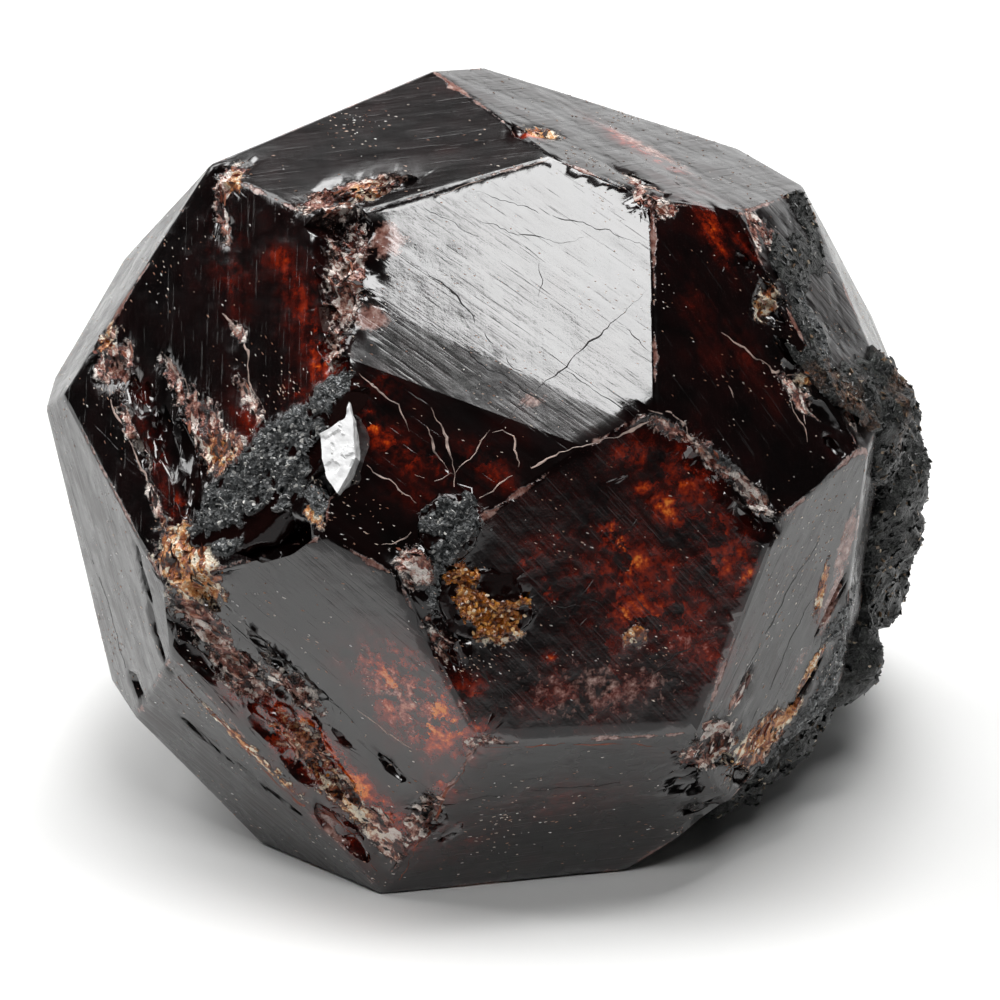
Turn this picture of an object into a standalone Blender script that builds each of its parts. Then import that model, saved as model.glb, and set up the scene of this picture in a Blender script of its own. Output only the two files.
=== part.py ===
"""A loose almandine garnet crystal, with the schist it grew in still on its right side.

The crystal is a malformed trapezohedron: 34 flat faces, each at its own distance from the
crystal's centre, which stands CENTRE_HEIGHT above the face it rests on. Metres, +Z up, the
viewer's side towards -Y. The origin is on the resting face, straight below the centre.
"""
import math
import random

import bmesh
import bpy
from mathutils import Euler, Matrix, Vector, noise
from mathutils.geometry import intersect_line_plane, intersect_plane_plane

MM = 0.001
CENTRE_HEIGHT = 15.2  # mm from the resting face up to the crystal's centre
CENTRE = Vector((0.0, 0.0, CENTRE_HEIGHT * MM))
GAP = 0.3  # mm left open between two minerals that touch
FLOOR_CLEARANCE = 0.3  # mm that the schist stays above the surface the crystal rests on
EDGE_WEAR = 0.14  # mm, width of the worn line along each crystal edge

# Crystal faces: bearing in degrees from the viewer's side towards +X, rise in degrees above
# the horizon, and distance from the crystal's centre in mm.
FACES = {
    "top_left": (-22.0, 65.5, 22.5),
    "top_right": (86.5, 70.0, 20.4),
    "front_upper": (1.0, 32.5, 20.8),
    "front_upper_slope": (-0.1, 30.5, 20.75),
    "front_upper_brink": (-1.3, 27.7, 20.75),
    "left_upper": (-38.0, 23.5, 21.1),
    "right_upper": (39.0, 26.5, 21.5),
    "front": (14.5, 3.5, 20.1),
    "front_lower": (-21.5, -12.0, 20.6),
    "left_flank": (-62.5, -8.5, 21.0),
    "left_shoulder": (-87.5, 33.0, 21.7),
    "right_flank": (51.0, -10.5, 20.3),
    "foot_front": (12.5, -28.0, 20.8),
    "foot_left": (-44.0, -27.0, 21.0),
    "right_shoulder": (70.0, 30.0, 21.3),
    "right_brow": (90.0, 24.5, 20.8),
    "rest": (0.0, -90.0, CENTRE_HEIGHT),
    "undercut_left": (-82.0, -44.0, 19.7),
    "side_left": (-93.5, -12.0, 19.6),
    "back_left_upper": (-117.0, 19.5, 19.1),
    "crown_left": (-135.5, 52.0, 17.1),
    "crown_back": (155.0, 56.0, 17.8),
    "crown_right": (125.0, 43.0, 19.7),
    "side_right": (76.5, -7.0, 19.7),
    "back_upper": (-168.5, 17.0, 20.9),
    "undercut_right": (78.5, -51.5, 17.8),
    "undercut_back": (131.0, -53.5, 20.2),
    "back_right_lower": (149.5, -26.5, 22.0),
    "back_right": (165.5, 5.5, 20.9),
    "back_left": (-165.5, 1.0, 20.9),
    "back_left_lower": (-142.0, -26.5, 20.9),
    "back_lower": (176.5, -34.5, 20.9),
    "undercut_far": (-134.5, -60.5, 20.2),
    "side_far": (118.0, -3.0, 21.2),
}

# Conchoidal chips: face, mm right and mm up on it, half sizes along, across and into the
# crystal, and the turn of the long side in degrees from level.
CHIPS = {
    "chip_top_corner": ("front_upper", -7.2, 8.0, (1.9, 1.2, 0.7), -60),
    "chip_left_corner": ("left_upper", -4.1, 11.6, (1.1, 0.7, 0.5), 20),
    "chip_right_corner": ("right_upper", -2.4, 10.3, (0.9, 0.7, 0.6), 35),
    "chip_crown": ("top_right", -9.3, 5.2, (0.8, 0.5, 0.35), 10),
    "chip_brow": ("right_upper", 2.2, 8.4, (2.0, 0.7, 0.35), -62),
    "chip_front_edge": ("front", 6.6, 5.3, (2.6, 0.8, 0.45), -42),
    "chip_foot_right": ("right_flank", -6.6, -3.4, (1.5, 1.1, 0.7), -60),
    "chip_foot_corner": ("foot_front", 7.6, -2.6, (1.9, 1.5, 0.9), 30),
    "chip_foot_left": ("foot_left", -5.4, 3.0, (0.9, 1.3, 0.8), 50),
    "chip_flank": ("left_flank", -6.6, 8.2, (0.9, 0.6, 0.4), -50),
    "chip_back": ("back_upper", 4.2, 3.0, (1.8, 1.2, 0.6), 25),
    "chip_back_crown": ("crown_left", 3.0, -6.5, (2.2, 1.0, 0.5), 5),
    "chip_side": ("side_left", -4.6, 3.4, (1.5, 0.8, 0.5), 70),
    "hollow_under_mica": ("left_upper", 3.4, -4.7, (2.6, 1.2, 1.6), 16),
}

# Steps broken out of the corner where the three upper front faces meet: mm along the edge
# between front_upper and left_upper from that corner, block size in mm, and its turns.
CORNER_STEPS = (
    (0.1, (3.0, 1.6, 1.7), (24, 12, 31)),
    (1.3, (2.4, 1.7, 1.3), (-18, 33, 12)),
    (2.3, (2.0, 1.3, 1.4), (41, -22, 55)),
    (3.3, (2.3, 1.2, 1.2), (10, 52, -20)),
    (4.5, (1.6, 1.4, 1.2), (-35, 15, 38)),
    (5.7, (1.9, 1.0, 1.0), (28, -41, 10)),
    (7.0, (1.3, 0.9, 0.9), (-12, 24, 62)),
)

# Bands where slivers of a face have split off and left ledges: face, start and end of the
# band in mm right and up, half width, number of slivers, and a sliver's length, width and
# depth in mm and turn in degrees from level.
SPLINTER_BANDS = (
    ("front_lower", (-7.0, 4.2), (0.6, -7.4), 1.3, 24, 3.4, 1.3, 0.55, -50),
    ("front_lower", (-5.6, 5.0), (3.4, -4.6), 0.6, 5, 2.6, 0.8, 0.22, -46),
    ("left_upper", (-7.6, 1.0), (-0.4, -4.8), 1.2, 15, 3.2, 1.0, 0.50, -62),
    ("right_upper", (2.7, 6.6), (4.6, -3.6), 0.5, 8, 2.4, 0.9, 0.45, -60),
    ("front", (4.6, 6.3), (8.6, 2.6), 0.3, 6, 2.0, 0.8, 0.45, -42),
    ("front", (-7.4, 2.6), (-6.6, -3.4), 0.7, 6, 2.4, 0.8, 0.40, -60),
    ("right_flank", (-7.2, -2.2), (-3.6, -6.4), 0.6, 8, 2.0, 0.9, 0.50, -30),
    ("right_flank", (0.4, -3.0), (2.2, 3.4), 0.3, 3, 4.6, 0.5, 0.30, 60),
    ("foot_front", (5.4, 1.8), (7.2, -3.4), 0.7, 6, 2.2, 1.1, 0.50, 24),
    ("foot_front", (-7.4, 1.0), (-5.4, -2.2), 0.5, 4, 2.0, 0.9, 0.40, 58),
    ("top_left", (-3.0, -5.6), (0.6, -3.4), 0.6, 8, 1.6, 0.9, 0.40, 22),
    ("left_flank", (5.0, 5.2), (6.2, -3.0), 0.4, 5, 2.2, 0.7, 0.35, -78),
    ("foot_left", (-1.4, 1.6), (4.6, -2.6), 0.3, 4, 3.0, 0.5, 0.20, -40),
    ("crown_left", (-5.0, 0.0), (4.0, 4.0), 1.6, 6, 4.6, 1.2, 0.45, 30),
    ("back_left_upper", (0.0, 3.0), (2.0, -3.0), 1.4, 5, 4.2, 1.1, 0.45, 64),
    ("back_left_lower", (-1.0, 2.0), (2.0, -2.0), 1.2, 4, 4.0, 1.0, 0.40, 48),
    ("side_left", (2.0, 3.0), (3.0, -4.0), 0.9, 5, 4.2, 0.9, 0.40, -66),
    ("crown_back", (-1.0, 2.0), (3.0, -2.0), 1.2, 4, 4.4, 1.2, 0.40, -28),
)

# The schist: lobes that lie on the crystal, as bearing, rise, reach in degrees and
# thickness in mm at the middle of the lobe.
SCHIST_LOBES = (
    (87.0, -3.0, 14.0, 2.5),
    (79.0, -27.0, 10.0, 2.3),
    (70.0, -40.0, 16.0, 2.7),
    (56.0, -40.0, 12.0, 1.9),
    (99.0, -17.0, 18.0, 1.7),
    (115.0, -7.0, 20.0, 2.3),
    (130.0, -20.0, 26.0, 3.2),
    (104.0, -38.0, 24.0, 2.6),
    (71.0, 42.0, 8.0, 0.5),
    (61.0, 39.0, 9.0, 0.6),
    (59.0, 31.0, 10.0, 0.6),
    (63.0, 23.0, 10.0, 0.7),
    (73.0, 15.0, 11.0, 1.1),
)
SCHIST_SUNK = -1.4  # mm below the crystal's surface, where there is no schist
SCHIST_LUMP = 0.55  # mm, height of the large lumps
SCHIST_GRAIN = 0.45  # mm, height of the small lumps
SCHIST_FINENESS = 0.55  # share of the fine mesh's triangles that the solid keeps

# Minerals seated in the crystal's faces: face, mm right, mm up, half sizes along, across and
# through, turn in degrees, mm that the middle stands proud, roughness, taper, fineness.
SEATED = {
    "mica_schist_patch": ("left_upper", 3.0, -1.9, (5.4, 2.0, 1.5), 52, -0.8, 0.34, 0.8, 3),
    "white_mica_flake": ("left_upper", 6.5, -0.2, (2.0, 0.95, 0.7), 78, -0.2, 0.24, 0.0, 2),
    "small_mica_patch": ("front", -6.8, 3.8, (1.45, 1.15, 0.8), 70, -0.45, 0.28, 0.0, 2),
    "iron_oxide_crust": ("front", -5.3, 0.1, (2.1, 1.5, 0.9), -22, -0.35, 0.34, 0.0, 3),
}
SLIMMEST = 0.2  # share of its full width that a tapered mineral keeps at its narrow end

COLOURS = {  # base colour (linear), roughness
    "garnet_crystal": ((0.055, 0.008, 0.006), 0.16),
    "schist_matrix": ((0.045, 0.047, 0.043), 0.75),
    "mica_schist_patch": ((0.15, 0.15, 0.14), 0.6),
    "white_mica_flake": ((0.72, 0.70, 0.66), 0.4),
    "small_mica_patch": ((0.17, 0.17, 0.16), 0.6),
    "iron_oxide_crust": ((0.33, 0.17, 0.06), 0.6),
}


def clear_scene():
    for thing in list(bpy.data.objects):
        bpy.data.objects.remove(thing, do_unlink=True)


def new_collection(name):
    collection = bpy.data.collections.new(name)
    bpy.context.scene.collection.children.link(collection)
    return collection


def to_object(form, name, collection):
    """Turns a bmesh into a mesh object of the given collection."""
    mesh = bpy.data.meshes.new(name)
    form.to_mesh(mesh)
    form.free()
    thing = bpy.data.objects.new(name, mesh)
    collection.objects.link(thing)
    return thing


def as_cutter(thing):
    thing.hide_render = True
    thing.display_type = "WIRE"
    return thing


def give_material(thing):
    colour, roughness = COLOURS[thing.name]
    material = bpy.data.materials.new(thing.name)
    material.use_nodes = True
    shader = material.node_tree.nodes["Principled BSDF"]
    shader.inputs["Base Color"].default_value = (*colour, 1.0)
    shader.inputs["Roughness"].default_value = roughness
    thing.data.materials.append(material)


def direction(bearing, rise):
    """Unit vector at a bearing from the viewer's side and a rise above the horizon."""
    b = math.radians(bearing)
    r = math.radians(rise)
    return Vector((math.sin(b) * math.cos(r), -math.cos(b) * math.cos(r), math.sin(r)))


def face_frame(face):
    """A face's normal, and its directions to the right and up the slope."""
    bearing, rise, _ = FACES[face]
    normal = direction(bearing, rise)
    right = Vector((0.0, 0.0, 1.0)).cross(normal).normalized()
    return normal, right, normal.cross(right)


def spot(face, right_mm, up_mm):
    """A point on a face, counted from the foot of the centre's perpendicular."""
    normal, right, up = face_frame(face)
    return CENTRE + MM * (FACES[face][2] * normal + right_mm * right + up_mm * up)


def seat_matrix(face, right_mm, up_mm, proud_mm, turn):
    """Places a form on a face: X along its long side, Z out of the crystal."""
    normal, right, up = face_frame(face)
    along = math.cos(math.radians(turn)) * right + math.sin(math.radians(turn)) * up
    across = normal.cross(along)
    place = spot(face, right_mm, up_mm) + MM * proud_mm * normal
    return Matrix.Translation(place) @ Matrix((along, across, normal)).transposed().to_4x4()


def crystal_form(grow_mm=0.0):
    """The bare crystal: a block cut down by one plane for each face."""
    form = bmesh.new()
    bmesh.ops.create_cube(form, size=90 * MM, matrix=Matrix.Translation(CENTRE))
    for face, (_, _, distance) in FACES.items():
        normal = face_frame(face)[0] if face != "rest" else Vector((0.0, 0.0, -1.0))
        cut = bmesh.ops.bisect_plane(
            form,
            geom=form.verts[:] + form.edges[:] + form.faces[:],
            dist=1e-8,
            plane_co=CENTRE + MM * (distance + grow_mm) * normal,
            plane_no=normal,
            clear_outer=True,
        )
        rim = [part for part in cut["geom_cut"] if isinstance(part, bmesh.types.BMEdge)]
        bmesh.ops.contextual_create(form, geom=rim)
    bmesh.ops.recalc_face_normals(form, faces=form.faces)
    return form


def crystal_radius(ray):
    """Distance in mm from the centre to the crystal's surface along a unit ray."""
    reach = 99.0
    for bearing, rise, distance in FACES.values():
        slope = direction(bearing, rise).dot(ray)
        if slope > 0.01:
            reach = min(reach, distance / slope)
    return reach


def lens(radii, roughness, fineness, grow_mm, place, seed, taper=0.0):
    """A lumpy lens of mineral; grow_mm makes the socket that takes it."""
    form = bmesh.new()
    bmesh.ops.create_icosphere(form, subdivisions=fineness, radius=1.0)
    shift = Vector((seed * 3.7, seed * 1.9, seed * 5.3))
    for vert in form.verts:
        ray = vert.co.normalized()
        swell = 1.0 + roughness * noise.noise(ray * 2.2 + shift)
        swell += 0.5 * roughness * noise.noise(ray * 5.1 + shift)
        shape = Vector([ray[i] * radii[i] * swell for i in range(3)])
        shape.y *= max(SLIMMEST, 1.0 - taper * max(0.0, ray.x))
        out = Vector([ray[i] / radii[i] for i in range(3)]).normalized()
        vert.co = place @ (MM * (shape + grow_mm * out))
    return form


def chip_cutter(name, cutters, seed):
    face, right_mm, up_mm, radii, turn = CHIPS[name]
    place = seat_matrix(face, right_mm, up_mm, 0.0, turn)
    return as_cutter(to_object(lens(radii, 0.45, 2, 0.0, place, seed), name, cutters))


def corner_point(first, second, third):
    """Where three crystal faces meet."""
    planes = []
    for face in (first, second, third):
        normal = face_frame(face)[0]
        planes.append((CENTRE + MM * FACES[face][2] * normal, normal))
    start, along = intersect_plane_plane(*planes[0], *planes[1])
    return intersect_line_plane(start, start + along, *planes[2])


def corner_step_cutters(cutters):
    top = corner_point("top_left", "front_upper", "left_upper")
    foot = corner_point("front_lower", "front_upper", "left_upper")
    down_edge = (foot - top).normalized()
    for count, (along_mm, size, turns) in enumerate(CORNER_STEPS):
        turned = Euler([math.radians(angle) for angle in turns]).to_matrix().to_4x4()
        place = Matrix.Translation(top + MM * along_mm * down_edge) @ turned
        form = bmesh.new()
        bmesh.ops.create_cube(form, size=MM, matrix=place @ Matrix.Diagonal((*size, 1.0)))
        as_cutter(to_object(form, f"corner_step_{count + 1}", cutters))


def splinter_cutters(cutters):
    """Low lenses that dip to one side, so that each leaves a ledge along its deep edge."""
    for band, values in enumerate(SPLINTER_BANDS):
        face, start, end, spread, count, length, width, depth, turn = values
        draw = random.Random(band + 1)
        for number in range(count):
            share = (number + draw.random()) / count
            right_mm = start[0] + share * (end[0] - start[0]) + draw.uniform(-spread, spread)
            up_mm = start[1] + share * (end[1] - start[1]) + draw.uniform(-spread, spread)
            size = draw.uniform(0.6, 1.2)
            place = seat_matrix(face, right_mm, up_mm, 0.0, turn + draw.uniform(-9.0, 9.0))
            dip = Matrix.Rotation(math.radians(draw.uniform(10.0, 22.0)), 4, "X")
            radii = (size * length / 2, size * width / 2, depth)
            form = lens(radii, 0.5, 1, 0.0, place @ dip, number)
            as_cutter(to_object(form, f"splinter_{band + 1}_{number + 1}", cutters))


def make_crystal(parts, cutters):
    crystal = to_object(crystal_form(), "garnet_crystal", parts)
    give_material(crystal)
    wear = crystal.modifiers.new("edge_wear", "BEVEL")
    wear.width = EDGE_WEAR * MM
    wear.segments = 1
    wear.limit_method = "ANGLE"
    wear.angle_limit = math.radians(12)
    carve = crystal.modifiers.new("carve", "BOOLEAN")
    carve.operation = "DIFFERENCE"
    carve.operand_type = "COLLECTION"
    carve.collection = cutters
    carve.solver = "EXACT"
    return crystal


def make_seated(parts, cutters):
    """The small minerals, and the socket in the crystal that each one sits in."""
    for seed, (name, values) in enumerate(SEATED.items()):
        face, right_mm, up_mm, radii, turn, proud, roughness, taper, fineness = values
        place = seat_matrix(face, right_mm, up_mm, proud, turn)
        form = lens(radii, roughness, fineness, 0.0, place, seed, taper)
        give_material(to_object(form, name, parts))
        socket = lens(radii, roughness, fineness, GAP, place, seed, taper)
        as_cutter(to_object(socket, f"socket_{name}", cutters))
    meeting = parts.objects["mica_schist_patch"].modifiers.new("meets_flake", "BOOLEAN")
    meeting.operation = "DIFFERENCE"
    meeting.object = cutters.objects["socket_white_mica_flake"]
    meeting.solver = "EXACT"


def schist_thickness(ray):
    """Thickness of the schist in mm along a ray from the crystal's centre."""
    thickness = SCHIST_SUNK
    for bearing, rise, reach, height in SCHIST_LOBES:
        apart = math.degrees(ray.angle(direction(bearing, rise)))
        fall = 1.0 - (apart / reach) ** 2
        thickness = max(thickness, height * fall if fall > 0 else -2.0 * apart / reach)
    thickness += SCHIST_LUMP * noise.noise(ray * 5.5 + Vector((3.1, 0.4, 7.7)))
    thickness += SCHIST_GRAIN * noise.noise(ray * 13.0 + Vector((0.9, 5.2, 1.3)))
    return max(thickness, SCHIST_SUNK)


def make_schist(parts, cutters):
    form = bmesh.new()
    bmesh.ops.create_icosphere(form, subdivisions=6, radius=1.0)
    lowest = CENTRE_HEIGHT - FLOOR_CLEARANCE
    for vert in form.verts:
        ray = vert.co.normalized()
        reach = crystal_radius(ray) + schist_thickness(ray)
        if ray.z * reach < -lowest:
            reach = -lowest / ray.z
        vert.co = CENTRE + MM * reach * ray
    schist = to_object(form, "schist_matrix", parts)
    give_material(schist)
    bed = as_cutter(to_object(crystal_form(GAP), "schist_bed", cutters))
    carve = schist.modifiers.new("bed", "BOOLEAN")
    carve.operation = "DIFFERENCE"
    carve.object = bed
    carve.solver = "EXACT"
    thin = schist.modifiers.new("thin_out", "DECIMATE")
    thin.ratio = SCHIST_FINENESS
    return schist


def main():
    clear_scene()
    parts = new_collection("garnet_crystal")
    crystal_cutters = new_collection("crystal_cutters")
    schist_cutters = new_collection("schist_cutters")
    for seed, name in enumerate(CHIPS):
        chip_cutter(name, crystal_cutters, seed + 11)
    corner_step_cutters(crystal_cutters)
    splinter_cutters(crystal_cutters)
    make_seated(parts, crystal_cutters)
    make_crystal(parts, crystal_cutters)
    make_schist(parts, schist_cutters)


main()
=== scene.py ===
"""Looks of a loose almandine garnet crystal with mica schist still on one side.

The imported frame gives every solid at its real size. This add-on dresses it: the crystal and the
schist get fine meshes made from copies of their solids, the small minerals get grains and flakes,
and thin veins, cracks, splinters and specks are laid on the crystal's faces.
Lengths named mm are millimetres; everything else is in metres, +Z up, the viewer towards -Y.
"""
import functools
import math
import random

import bmesh
import bpy
from bpy.props import FloatProperty, FloatVectorProperty, PointerProperty
from mathutils import Matrix, Quaternion, Vector, noise
from mathutils.bvhtree import BVHTree
import numpy as np


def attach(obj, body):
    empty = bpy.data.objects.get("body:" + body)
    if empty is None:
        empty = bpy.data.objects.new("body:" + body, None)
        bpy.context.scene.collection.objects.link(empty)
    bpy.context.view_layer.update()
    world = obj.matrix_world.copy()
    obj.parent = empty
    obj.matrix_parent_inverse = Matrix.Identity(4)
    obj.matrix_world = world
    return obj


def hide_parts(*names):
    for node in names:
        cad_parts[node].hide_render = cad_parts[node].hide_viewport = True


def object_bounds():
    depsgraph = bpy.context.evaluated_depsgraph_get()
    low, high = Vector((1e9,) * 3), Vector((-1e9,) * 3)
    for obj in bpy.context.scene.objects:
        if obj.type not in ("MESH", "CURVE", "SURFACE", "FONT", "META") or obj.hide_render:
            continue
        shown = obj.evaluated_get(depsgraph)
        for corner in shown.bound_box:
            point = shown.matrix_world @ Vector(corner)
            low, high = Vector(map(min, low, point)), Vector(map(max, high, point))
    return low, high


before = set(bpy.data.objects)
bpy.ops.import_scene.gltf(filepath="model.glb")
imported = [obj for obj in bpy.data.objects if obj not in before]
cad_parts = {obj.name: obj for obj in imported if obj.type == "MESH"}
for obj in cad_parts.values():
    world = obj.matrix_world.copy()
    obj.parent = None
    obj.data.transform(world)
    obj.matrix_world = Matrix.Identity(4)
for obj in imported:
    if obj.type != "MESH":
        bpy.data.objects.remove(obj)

bl_info = {
    "name": "Garnet crystal",
    "version": (1, 0, 0),
    "blender": (4, 5, 0),
    "location": "3D View > Sidebar > Garnet",
    "description": "Dresses the solids of a garnet crystal specimen for rendering",
    "category": "Object",
}

MM = 0.001
SOLIDS_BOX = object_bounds()
SPECIMEN = "root"  # the one body of the frame
CENTRE = Vector((0.0, 0.0, 15.2 * MM))  # where the face normals below are counted from

# Camera: the main view looks down at VIEW_RISE from the viewer's side.
VIEW_RISE = 20.0  # degrees above the horizon
VIEW_DISTANCE = 225.0  # mm
VIEW_SHIFT = (0.611, -0.967)  # mm, right and up, of the camera from the line to CENTRE
PICTURE_SIDE = 1000  # pixels
SENSOR = 36.0  # mm
LENS = 159.12  # mm

# Soft lights: bearing and rise in degrees, distance and sides in metres, roll in degrees.
LIGHTS = {
    "key": (9.0, 54.0, 0.6, (0.19, 0.19), 35.0),
    "top": (130.0, 85.0, 0.7, (0.38, 0.38), 0.0),
    "left": (-108.0, 48.0, 0.7, (0.45, 0.45), 0.0),
    "back": (180.0, 8.0, 0.9, (1.6, 0.6), 0.0),
}

# Kinds of node that the materials use most.
MATH = "ShaderNodeMath"
MIX = "ShaderNodeMix"
NOISE = "ShaderNodeTexNoise"
RAMP = "ShaderNodeValToRGB"
VORONOI = "ShaderNodeTexVoronoi"
ATTRIBUTE = "ShaderNodeAttribute"
MAPPING = "ShaderNodeMapping"
SPLIT = "ShaderNodeSeparateColor"
VECTOR_MATH = "ShaderNodeVectorMath"

# Crystal faces: bearing and rise of the face's normal in degrees, turn of its striations in
# degrees from level, depth of the striations and of the pits from 0 to 1, and roughness.
FACE_FINISH = {
    "top_left": (-22.0, 65.5, 20.0, 0.14, 0.1, 0.24),
    "top_right": (86.5, 70.0, 150.0, 0.5, 0.6, 0.26),
    "front_upper": (1.0, 32.5, -36.0, 0.06, 0.06, 0.12),
    "front_upper_slope": (-0.1, 30.5, -36.0, 0.11, 0.06, 0.2),
    "front_upper_brink": (-1.3, 27.7, -36.0, 0.03, 0.0, 0.1),
    "left_upper": (-38.0, 23.5, -74.0, 0.6, 0.1, 0.2),
    "right_upper": (39.0, 26.5, -66.0, 0.7, 0.1, 0.2),
    "front": (14.5, 3.5, -50.0, 0.08, 0.04, 0.13),
    "front_lower": (-21.5, -12.0, -40.0, 0.14, 0.25, 0.18),
    "left_flank": (-62.5, -8.5, -70.0, 0.4, 1.0, 0.26),
    "left_shoulder": (-87.5, 33.0, 35.0, 0.4, 1.0, 0.26),
    "right_flank": (51.0, -10.5, 62.0, 0.3, 1.0, 0.24),
    "foot_front": (12.5, -28.0, 4.0, 0.3, 0.8, 0.26),
    "foot_left": (-44.0, -27.0, -36.0, 0.5, 1.0, 0.28),
    "right_shoulder": (70.0, 30.0, -60.0, 0.5, 1.0, 0.3),
    "right_brow": (90.0, 24.5, -50.0, 0.4, 0.8, 0.26),
}
OTHER_FACE_FINISH = (-35.0, 0.4, 0.8, 0.24)
FACE_LEAST_AREA = 12.0  # mm2, the smallest flat area that is taken for a crystal face
SAME_FACE_COSINE = 0.9995  # flat bits whose normals agree this well belong to one crystal face
SAME_FACE_STEP = 0.08 * MM  # and so do those whose distances from CENTRE differ by less
FINISH_COSINE = 0.9997  # how well a face agrees with the bearing and rise of its finish

# Places on the crystal's visible side are written as (x, y) in the main view's picture.
# Each spot: place, half length and half width in mm, turn in degrees as seen, and strength.
# Painted glow: red light from inside the crystal, painted into its base colour.
GLOWS = (
    ((611, 531), 0.5, 0.35, 70, 1.0),
    ((614, 542), 1.3, 0.7, -60, 0.8),
    ((633, 565), 1.1, 0.8, 20, 0.8),
    ((599, 571), 0.9, 0.5, 10, 0.66),
    ((667, 508), 1.4, 0.7, -50, 0.84),
    ((648, 486), 1.0, 0.5, 20, 0.74),
    ((633, 456), 1.8, 1.1, 20, 0.56),
    ((687, 478), 2.1, 1.4, -60, 0.6),
    ((708, 524), 2.0, 1.3, -50, 0.5),
    ((551, 592), 1.0, 0.4, -40, 0.8),
    ((538, 572), 1.2, 0.7, -40, 0.44),
    ((524, 564), 0.4, 0.3, 40, 0.66),
    ((621, 614), 1.1, 0.8, -30, 0.66),
    ((748, 575), 1.3, 0.4, 55, 0.8),
    ((728, 560), 2.0, 1.2, 40, 0.54),
    ((550, 657), 0.4, 0.3, 0, 0.66),
    ((480, 728), 0.9, 0.5, 0, 0.6),
    ((560, 545), 3.0, 1.6, 30, 0.34),
    ((640, 590), 5.6, 3.4, -30, 0.48),
    ((585, 690), 4.4, 2.2, 10, 0.36),
    ((700, 650), 3.4, 2.6, 30, 0.36),
    ((470, 690), 1.6, 1.0, -40, 0.4),
    ((415, 700), 3.6, 2.2, -45, 0.95),
    ((372, 660), 1.8, 1.0, -45, 0.4),
    ((300, 745), 2.8, 1.5, -45, 0.95),
    ((340, 780), 2.6, 1.4, -45, 0.95),
    ((240, 690), 2.4, 1.4, -50, 0.46),
    ((380, 820), 2.8, 1.4, -45, 0.8),
    ((440, 780), 2.0, 1.3, -60, 0.44),
    ((366, 411), 0.45, 0.3, 0, 1.0),
    ((373, 428), 0.5, 0.3, -40, 0.8),
    ((396, 446), 2.4, 1.0, -35, 0.5),
    ((440, 470), 1.4, 0.7, -35, 0.46),
    ((488, 467), 2.0, 0.7, -38, 0.46),
    ((378, 384), 1.2, 0.6, -35, 0.42),
    ((430, 500), 2.2, 1.0, -20, 0.3),
    ((283, 262), 1.3, 0.8, -50, 0.44),
    ((300, 302), 3.0, 1.4, -80, 0.36),
    ((320, 357), 1.7, 1.1, -70, 0.6),
    ((298, 396), 1.8, 1.0, 0, 0.42),
    ((176, 512), 1.2, 0.7, -70, 0.52),
    ((150, 440), 3.4, 0.7, -75, 0.4),
    ((250, 420), 1.8, 1.0, -70, 0.34),
    ((230, 260), 3.4, 1.4, -78, 0.3),
    ((712, 228), 1.8, 0.7, -60, 0.62),
    ((725, 254), 1.0, 0.45, -45, 0.66),
    ((742, 240), 1.6, 0.8, -60, 0.42),
    ((700, 310), 3.6, 1.4, -68, 0.18),
    ((738, 350), 3.4, 1.2, -60, 0.18),
    ((645, 152), 3.6, 0.9, -32, 0.6),
    ((695, 190), 2.0, 0.6, -20, 0.4),
    ((533, 134), 0.7, 0.5, 0, 0.8),
    ((821, 596), 1.8, 0.4, 78, 0.7),
    ((560, 800), 4.0, 1.8, 5, 0.24),
    ((450, 840), 3.0, 1.6, 20, 0.3),
    ((300, 800), 6.5, 0.8, -43, 0.42),
)

# Pale pink skin where the face has gone cloudy.
BLUSHES = (
    ((846, 545), 2.2, 0.7, 76, 0.8),
    ((832, 600), 2.0, 0.6, 72, 0.7),
    ((800, 660), 2.0, 0.5, 60, 0.4),
    ((650, 150), 3.4, 0.9, -28, 0.5),
    ((610, 128), 2.0, 0.6, -24, 0.34),
    ((348, 288), 0.6, 0.5, 0, 0.9),
    ((371, 318), 0.8, 0.6, 0, 0.9),
    ((356, 250), 0.5, 1.0, 0, 0.9),
    ((388, 240), 0.8, 0.9, 0, 0.8),
    ((430, 570), 1.2, 0.9, -40, 0.5),
    ((400, 700), 3.4, 2.0, -45, 0.36),
    ((600, 690), 5.4, 2.2, 5, 0.37),
    ((700, 640), 2.4, 1.8, 30, 0.26),
    ((531, 400), 0.9, 0.5, 0, 0.5),
)

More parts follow.
